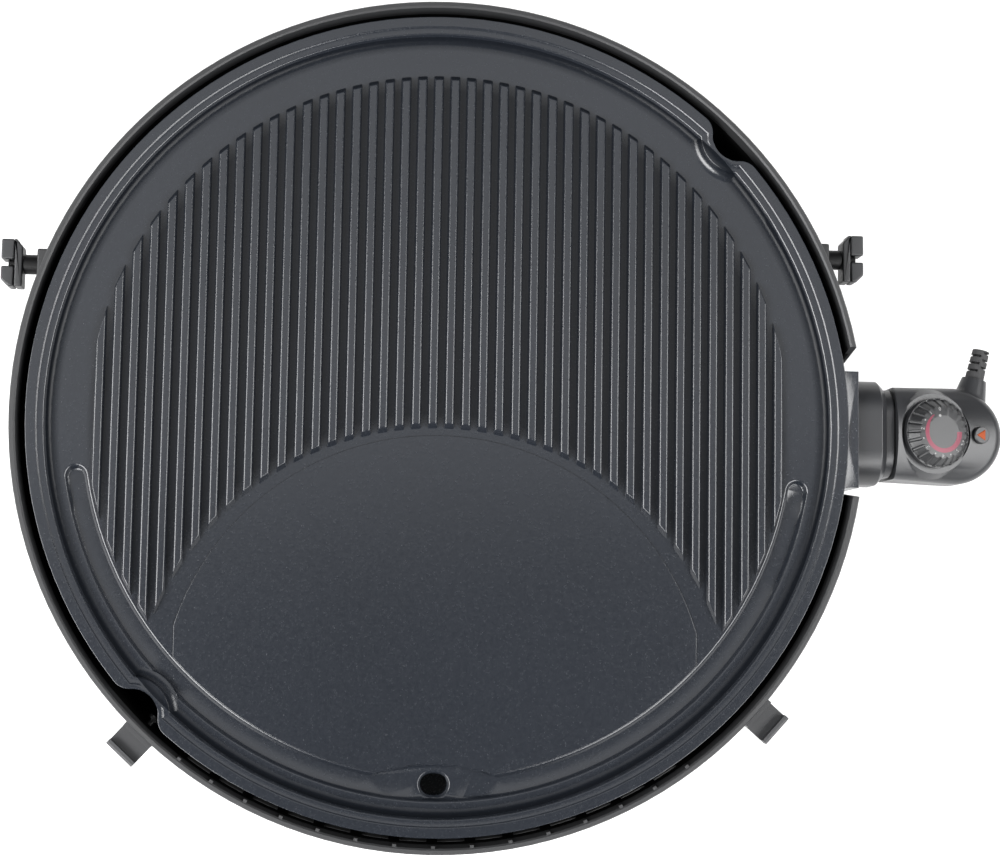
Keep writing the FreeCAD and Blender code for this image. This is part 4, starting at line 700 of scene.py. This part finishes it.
def rib_guides(plate):
    """One line along each rib, whose front third follows the front edge and back third the back edge."""
    points, edges, axes, backs = [], [], [], []
    level = RIM_LEVEL - plate.floor_drop
    field, bay, drop = plate.field_radius, plate.bay_radius, plate.bay_drop
    meet = (bay ** 2 - field ** 2 - drop ** 2) / (2 * drop)
    bay_half = math.sqrt(field ** 2 - meet ** 2)
    for step in range(plate.rib_count):
        across = (step - (plate.rib_count - 1) / 2) * plate.rib_pitch
        back = math.sqrt(field ** 2 - across ** 2)
        front = math.sqrt(bay ** 2 - across ** 2) - drop if abs(across) < bay_half else -back
        third = (back - front) / 3
        for place, at_back in ((front, 0.0), (front + third, 0.0), (back - third, 1.0), (back, 1.0)):
            if points and axes[-1] == across:
                edges.append((len(points) - 1, len(points)))
            points.append((across, place, level))
            axes.append(across)
            backs.append(at_back)
    mesh = bpy.data.meshes.new("rib_guides")
    mesh.from_pydata(points, edges, [])
    mesh.attributes.new("rib_axis", "FLOAT", "POINT").data.foreach_set("value", axes)
    mesh.attributes.new("rib_back", "FLOAT", "POINT").data.foreach_set("value", backs)
    return mesh, bay_half


class GRILL_OT_plate(bpy.types.Operator):
    """Coat the cast plate and grow its ribs"""
    bl_idname = "grill.plate"
    bl_label = "Grill plate"

    def execute(self, context):
        plate = context.scene.grill_plate
        floor = RIM_LEVEL - plate.floor_drop

        def on_channel(spot):
            return (abs(spot.xy.length - plate.channel_radius) < plate.channel_reach
                    and abs(spot.z - floor) < NEAR)

        def on_rim(spot):
            return spot.z > RIM_LEVEL - plate.rim_drop - NEAR and spot.xy.length > plate.lip_radius

        def on_lip(spot):
            return (abs(spot.z - RIM_LEVEL + plate.rim_drop) < NEAR
                    and plate.rim_inner < spot.xy.length < plate.lip_radius)

        def on_floor(spot):
            return floor - plate.channel_depth - NEAR < spot.z < RIM_LEVEL - plate.rim_drop - NEAR

        def on_ribs(spot):
            bay = math.hypot(spot.x, spot.y + plate.bay_drop)
            return (spot.z > floor + NEAR and spot.xy.length < plate.field_radius + NEAR
                    and bay > plate.bay_radius - NEAR)

        soften("grill_plate", "cast_coating", (plate.channel_round, 4, on_channel),
               (plate.lip_round, 4, on_lip), (plate.edge_round, 3, on_rim), (plate.step_round, 2, on_floor),
               cleared=on_ribs)
        guides, bay_half = rib_guides(plate)
        mesh = grown("grill_ribs", guides, rib_tree(), {
            "Top": plate.rib_top, "Base": plate.rib_base, "Height": plate.rib_height,
            "Rounding": plate.rib_rounding, "Sink": plate.rib_sink, "End lean": plate.end_lean,
            "Field radius": plate.field_radius, "Bay radius": plate.bay_radius, "Bay drop": plate.bay_drop,
            "Floor level": floor, "Bay half": bay_half, "Finish": finish("cast_coating")})
        shape = bmesh.new()
        shape.from_mesh(mesh)
        round_sharp(shape, plate.end_round, 2, lambda spot: spot.z > floor, False)
        shape.to_mesh(mesh)
        shape.free()
        new_piece("grill_ribs", shaded(mesh), "plate", "cast_coating")
        dress("plain_steel", "heating_element", "terminal_pins", "collar_screws")
        return {"FINISHED"}


class GRILL_OT_bowl(bpy.types.Operator):
    """Finish the bowl, its feet, the heat shield and the drip tray"""
    bl_idname = "grill.bowl"
    bl_label = "Bowl and drip tray"

    def execute(self, context):
        soften("base_bowl", "bowl_shell", (context.scene.grill_bowl.edge_round, 2))
        dress("bowl_moulding", "tray_runners")
        dress("shield_sheet", "heat_shield")
        dress("tray_enamel", "drip_tray")
        dress("soft_rubber", "centre_pad", *(node for node in NODES if node.endswith("_foot")))
        dress("plain_steel", "foot_screws")
        return {"FINISHED"}


class GRILL_OT_holders(bpy.types.Operator):
    """Finish the side jaws and the front hooks"""
    bl_idname = "grill.holders"
    bl_label = "Side jaws and hooks"

    def execute(self, context):
        bowl = context.scene.grill_bowl
        for side in ("left", "right"):
            soften(side + "_holder_bracket", "bowl_moulding", (bowl.bracket_round, 3, everywhere))
            soften(side + "_holder_jaw", "jaw_moulding", (bowl.jaw_round, 3, everywhere))
            soften(side + "_jaw_cap", "jaw_moulding", (bowl.jaw_round, 3, everywhere))
            soften(side + "_front_hook", "jaw_moulding", (bowl.hook_round, 2))
            soften(side + "_holder_pin", "pin_black", (bowl.pin_round, 2))
        dress("pin_black", "holder_nuts", "hook_screws")
        return {"FINISHED"}


class GRILL_OT_controller(bpy.types.Operator):
    """Finish the controller's housing, its socket and what is inside"""
    bl_idname = "grill.controller"
    bl_label = "Controller"

    def execute(self, context):
        control = context.scene.grill_controller
        for node in ("socket_collar", "controller_nose", "controller_top_cover", "controller_bottom_cover"):
            soften(node, "controller_shell", (control.shell_round, 3))
        dress("soft_rubber", "strain_relief")
        self.guard_liner(control)
        dress("knob_moulding", "pilot_lens")
        dress("plain_steel", "temperature_probe", "knob_shaft", "cover_screws")
        dress("sleeve_brass", "contact_sleeves")
        dress("stat_moulding", "thermostat_block")
        return {"FINISHED"}

    def guard_liner(self, control):
        """The thin tube inside the cord guard that shows dark in its slots."""
        entry = next(mount for mount in frame["record"]["mounts"] if mount["name"] == "cord_entry")
        along = Vector(entry["axis"]).normalized()
        half = entry["dims"]["length_mm"] * PER_MM / 2 - control.liner_short
        bore = entry["dims"]["r_mm"] * PER_MM + control.liner_gap
        shape = bmesh.new()
        outer = bore + control.liner_wall
        outline = [(bore, -half), (outer, -half), (outer, half), (bore, half)]
        corners = [shape.verts.new((reach, 0, level)) for reach, level in outline]
        ring = [shape.edges.new((corners[spot], corners[spot - 1])) for spot in range(4)]
        bmesh.ops.spin(shape, geom=ring + corners, axis=(0, 0, 1), steps=32, angle=math.tau, use_merge=True)
        bmesh.ops.remove_doubles(shape, verts=shape.verts, dist=MERGE)
        bmesh.ops.recalc_face_normals(shape, faces=shape.faces)
        turn = along.to_track_quat("Z", "Y").to_matrix().to_4x4()
        shape.transform(Matrix.Translation(entry["pos_m"]) @ turn)
        mesh = as_mesh("guard_liner", shape)
        mesh.shade_smooth()
        mesh.set_sharp_from_angle(angle=math.radians(SHARP_FROM))
        new_piece("guard_liner", mesh, "controller", "pin_black")


def knob_frame():
    """The knob's own axes, from its seat: X out along the slope, Y to the back, Z along the spindle."""
    joint = JOINTS["knob_turn"]
    up = Vector(joint["axis"]).normalized()
    back = Vector((0, 1, 0))
    out = back.cross(up)
    turn = Matrix((out, back, up)).transposed().to_4x4()
    return Matrix.Translation(joint["pos_m"]) @ turn


def crown_level(control, radius):
    """Height of the knob's face over its seat at a distance from its axis."""
    fall = max(0.0, (radius - control.crown_flat) / (control.crown_radius - control.crown_flat))
    return control.seat_gap + control.knob_height - control.crown_rise * fall


def extruded(shape):
    """Extrude all of a flat shape in place; gives the points of the new side."""
    made = bmesh.ops.extrude_face_region(shape, geom=shape.faces[:])["geom"]
    return [item for item in made if isinstance(item, bmesh.types.BMVert)]


def print_on_knob(control, name, flat, finish_name):
    """Lay a flat mesh, drawn in the knob's X and Y, on the knob's face as a thin print."""
    shape = bmesh.new()
    shape.from_mesh(flat)
    bpy.data.meshes.remove(flat)
    bmesh.ops.remove_doubles(shape, verts=shape.verts, dist=MERGE)
    bmesh.ops.triangulate(shape, faces=shape.faces)
    for face in shape.faces:
        if face.normal.z < 0:
            face.normal_flip()
    raised = set(extruded(shape))
    for vert in shape.verts:
        lift = control.print_lift if vert in raised else -control.print_lift
        vert.co.z = crown_level(control, vert.co.xy.length) + lift
    bmesh.ops.recalc_face_normals(shape, faces=shape.faces)
    shape.transform(knob_frame())
    new_piece(name, as_mesh(name, shape), "knob", finish_name)


def figure_mesh(text, height, spot, turn):
    """A figure as a flat mesh, centred on a spot and turned."""
    curve = bpy.data.curves.new("figure", "FONT")
    curve.body = text
    curve.size = height * FIGURE_SCALE
    curve.align_x = "CENTER"
    curve.align_y = "CENTER"
    curve.resolution_u = 3
    curve.offset = height * FIGURE_BOLD
    mesh = plain_mesh(placed("figure", curve))
    bpy.data.curves.remove(curve)
    mesh.transform(Matrix.Translation((*spot, 0)) @ Matrix.Rotation(turn, 4, "Z"))
    return mesh


def merged(name, meshes):
    """Several flat meshes as one."""
    shape = bmesh.new()
    for mesh in meshes:
        shape.from_mesh(mesh)
        bpy.data.meshes.remove(mesh)
    return as_mesh(name, shape)


def dot_tree():
    """A small disc on every guide point, as large as the point says."""
    tree, given, made = new_tree("dial_dots", "GeometryNodeTree", {
        "Points": "Geometry", "Finish": "Material"}, {"Dots": "Geometry"})
    disc = add_node(tree, "GeometryNodeMeshCircle", {"Vertices": 14, "Radius": 1.0}, fill_type="NGON")
    spots = add_node(tree, "GeometryNodeInstanceOnPoints", {
        "Points": given.outputs["Points"], "Instance": disc.outputs[0], "Scale": named(tree, "dot_size")})
    return close_tree(tree, spots.outputs[0], given.outputs["Finish"], made)


class GRILL_OT_dial(bpy.types.Operator):
    """Finish the knob, print its dial and light the pilot lamp's window"""
    bl_idname = "grill.dial"
    bl_label = "Dial and pilot lamp"

    def execute(self, context):
        control = context.scene.grill_controller
        soften("control_knob", "knob_moulding", (control.knob_round, 2))
        figures = []
        for figure, degrees in enumerate(FIGURE_ANGLES):
            angle = math.radians(degrees)
            spot = Vector((math.cos(angle), math.sin(angle))) * control.figure_radius
            figures.append(figure_mesh(str(figure), control.figure_height, spot, angle - math.pi / 2))
        print_on_knob(control, "dial_figures", merged("dial_figures", figures), "dial_print")
        dots = [(DOT_ANGLES[0], control.start_reach, control.start_radius)]
        dots += [(degrees, control.figure_radius, control.dot_radius) for degrees in DOT_ANGLES[1:]]
        points = bpy.data.meshes.new("dot_points")
        places = [(math.radians(degrees), reach) for degrees, reach, size in dots]
        points.from_pydata([(reach * math.cos(angle), reach * math.sin(angle), 0) for angle, reach in places],
                           [], [])
        sizes = points.attributes.new("dot_size", "FLOAT", "POINT")
        sizes.data.foreach_set("value", [size for degrees, reach, size in dots])
        flat = grown("dial_dots", points, dot_tree(), {"Finish": finish("dial_print")})
        print_on_knob(control, "dial_dots", flat, "dial_print")
        self.heat_arc(control)
        self.lamp_window(control)
        return {"FINISHED"}

    def heat_arc(self, control):
        """The printed arc that widens from the first figure to the hot end."""
        points, faces = [], []
        for step in range(ARC_STEPS + 1):
            share = step / ARC_STEPS
            angle = math.radians(ARC_START + (ARC_END - ARC_START) * share)
            width = ARC_THIN + ARC_BODY * min(1, ARC_LEADS * share) + ARC_SWELL * share ** 3
            inner = control.arc_radius - control.arc_width * width
            for radius in (inner, max(inner, control.crown_flat), control.arc_radius):
                points.append((math.cos(angle) * radius, math.sin(angle) * radius, 0))
            if step:
                low = 3 * step
                faces.append((low - 3, low - 2, low + 1, low))
                faces.append((low - 2, low - 1, low + 2, low + 1))
        flat = bpy.data.meshes.new("heat_arc")
        flat.from_pydata(points, [], faces)
        print_on_knob(control, "heat_arc", flat, "heat_print")

    def lamp_window(self, control):
        """A raised three-sided window on the pilot lens, pointing to the knob."""
        low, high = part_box("pilot_lens")
        frame_here = knob_frame()
        up = frame_here.to_3x3().col[2]
        middle = (low + high) / 2
        top = max((vert.co - middle).dot(up) for vert in NODES["pilot_lens"].data.vertices)
        shape = bmesh.new()
        corners = [Vector((math.cos(angle), math.sin(angle), 0)) * control.window_reach
                   for angle in (math.pi, math.pi * 5 / 3, math.pi / 3)]
        base = [shape.verts.new(corner) for corner in corners]
        shape.faces.new(base)
        bmesh.ops.translate(shape, vec=(0, 0, control.window_tall), verts=extruded(shape))
        bmesh.ops.recalc_face_normals(shape, faces=shape.faces)
        bmesh.ops.bevel(shape, geom=shape.edges[:], offset=control.window_round, segments=3, profile=0.5,
                        affect="EDGES", clamp_overlap=True)
        place = frame_here.copy()
        place.translation = middle + up * (top - control.window_sunk)
        shape.transform(place)
        for face in shape.faces:
            face.smooth = True
        mesh = as_mesh("lamp_window", shape)
        mesh.set_sharp_from_angle(angle=math.radians(WINDOW_SHARP_FROM))
        new_piece("lamp_window", mesh, "controller", "lamp_window")


def direction(turn, rise):
    """The way out to a compass angle and a height, in degrees."""
    turn, rise = math.radians(turn), math.radians(rise)
    return Vector((math.cos(turn) * math.cos(rise), math.sin(turn) * math.cos(rise), math.sin(rise)))


def softbox(name, turn, rise, away, wide, tall, power):
    """A soft light round the plate, aimed at its middle."""
    lamp = bpy.data.lights.new(name, "AREA")
    lamp.shape = "RECTANGLE"
    lamp.size = wide
    lamp.size_y = tall
    lamp.energy = power
    thing = placed(name, lamp)
    out = direction(turn, rise)
    thing.location = Vector((0, 0, RIM_LEVEL)) + out * away
    thing.rotation_euler = (-out).to_track_quat("-Z", "Y").to_euler()


class GRILL_OT_stage(bpy.types.Operator):
    """Set up the floor, the lights and the camera"""
    bl_idname = "grill.stage"
    bl_label = "Floor, lights and camera"

    def execute(self, context):
        scene = context.scene
        stage = scene.grill_stage
        self.floor(stage)
        world = bpy.data.worlds.new("even_light")
        world.use_nodes = True
        tree = world.node_tree
        sky = tree.nodes["Background"]
        sky.inputs["Color"].default_value = (1, 1, 1, 1)
        way = tree.nodes.new("ShaderNodeTexCoord").outputs["Generated"]
        upward = add_node(tree, "ShaderNodeSeparateXYZ", {0: way}).outputs["Z"]
        fading = ramp(tree, upward, 0.0, stage.horizon_top, stage.glow, stage.sky)
        tree.links.new(fading, sky.inputs["Strength"])
        scene.world = world
        side = (stage.side_rise, stage.away, stage.side_wide, stage.side_tall)
        softbox("left_softbox", stage.left_turn, *side, stage.left)
        softbox("right_softbox", stage.right_turn, *side, stage.right)
        softbox("back_softbox", stage.back_turn, stage.back_rise, stage.away, stage.back_wide,
                stage.back_tall, stage.back)
        self.camera(scene, stage)
        scene.view_settings.view_transform = "Standard"
        return {"FINISHED"}

    def floor(self, stage):
        shape = bmesh.new()
        bmesh.ops.create_grid(shape, x_segments=8, y_segments=8, size=stage.floor_half)
        thing = placed("pale_floor", as_mesh("pale_floor", shape))
        thing.data.materials.append(glowing("pale_floor", (1, 1, 1, 1), stage.glow))

    def camera(self, scene, stage):
        back = direction(stage.towards, 90 - stage.tilt)
        right = Vector((0, 1, 0)).cross(back).normalized()
        up = back.cross(right)
        roll = math.radians(stage.roll)
        across = right * math.cos(roll) + up * math.sin(roll)
        upward = up * math.cos(roll) - right * math.sin(roll)
        lens = bpy.data.cameras.new("camera")
        lens.lens = stage.lens
        lens.sensor_width = stage.sensor
        lens.shift_x = stage.shift_x
        lens.shift_y = stage.shift_y
        thing = placed("camera", lens)
        turn = Matrix((across, upward, back)).transposed().to_4x4()
        thing.matrix_world = Matrix.Translation(Vector((0, 0, RIM_LEVEL)) + back * stage.distance) @ turn
        scene.camera = thing


class GRILL_PT_panel(bpy.types.Panel):
    """The sidebar's list of pieces"""
    bl_idname = "GRILL_PT_panel"
    bl_label = "Table barbecue"
    bl_space_type = "VIEW_3D"
    bl_region_type = "UI"
    bl_category = "Barbecue"

    def draw(self, context):
        for operator in OPERATORS:
            self.layout.operator(operator.bl_idname)
        for settings in SETTINGS:
            box = self.layout.box()
            group = getattr(context.scene, settings)
            for name in group.__annotations__:
                box.prop(group, name)


SETTINGS = {"grill_plate": PlateSettings, "grill_controller": ControllerSettings, "grill_bowl": BowlSettings,
            "grill_stage": StageSettings}
OPERATORS = [GRILL_OT_plate, GRILL_OT_bowl, GRILL_OT_holders, GRILL_OT_controller, GRILL_OT_dial,
             GRILL_OT_stage]


def register():
    for made in (*SETTINGS.values(), *OPERATORS, GRILL_PT_panel):
        bpy.utils.register_class(made)
    for name, settings in SETTINGS.items():
        setattr(bpy.types.Scene, name, PointerProperty(type=settings))


def unregister():
    for name in SETTINGS:
        delattr(bpy.types.Scene, name)
    for made in (GRILL_PT_panel, *reversed(OPERATORS), *reversed(list(SETTINGS.values()))):
        bpy.utils.unregister_class(made)


def main():
    register()
    bpy.ops.grill.plate()
    bpy.ops.grill.bowl()
    bpy.ops.grill.holders()
    bpy.ops.grill.controller()
    bpy.ops.grill.dial()
    bpy.ops.grill.stage()
    bpy.context.view_layer.update()


if __name__ == "__main__":
    main()
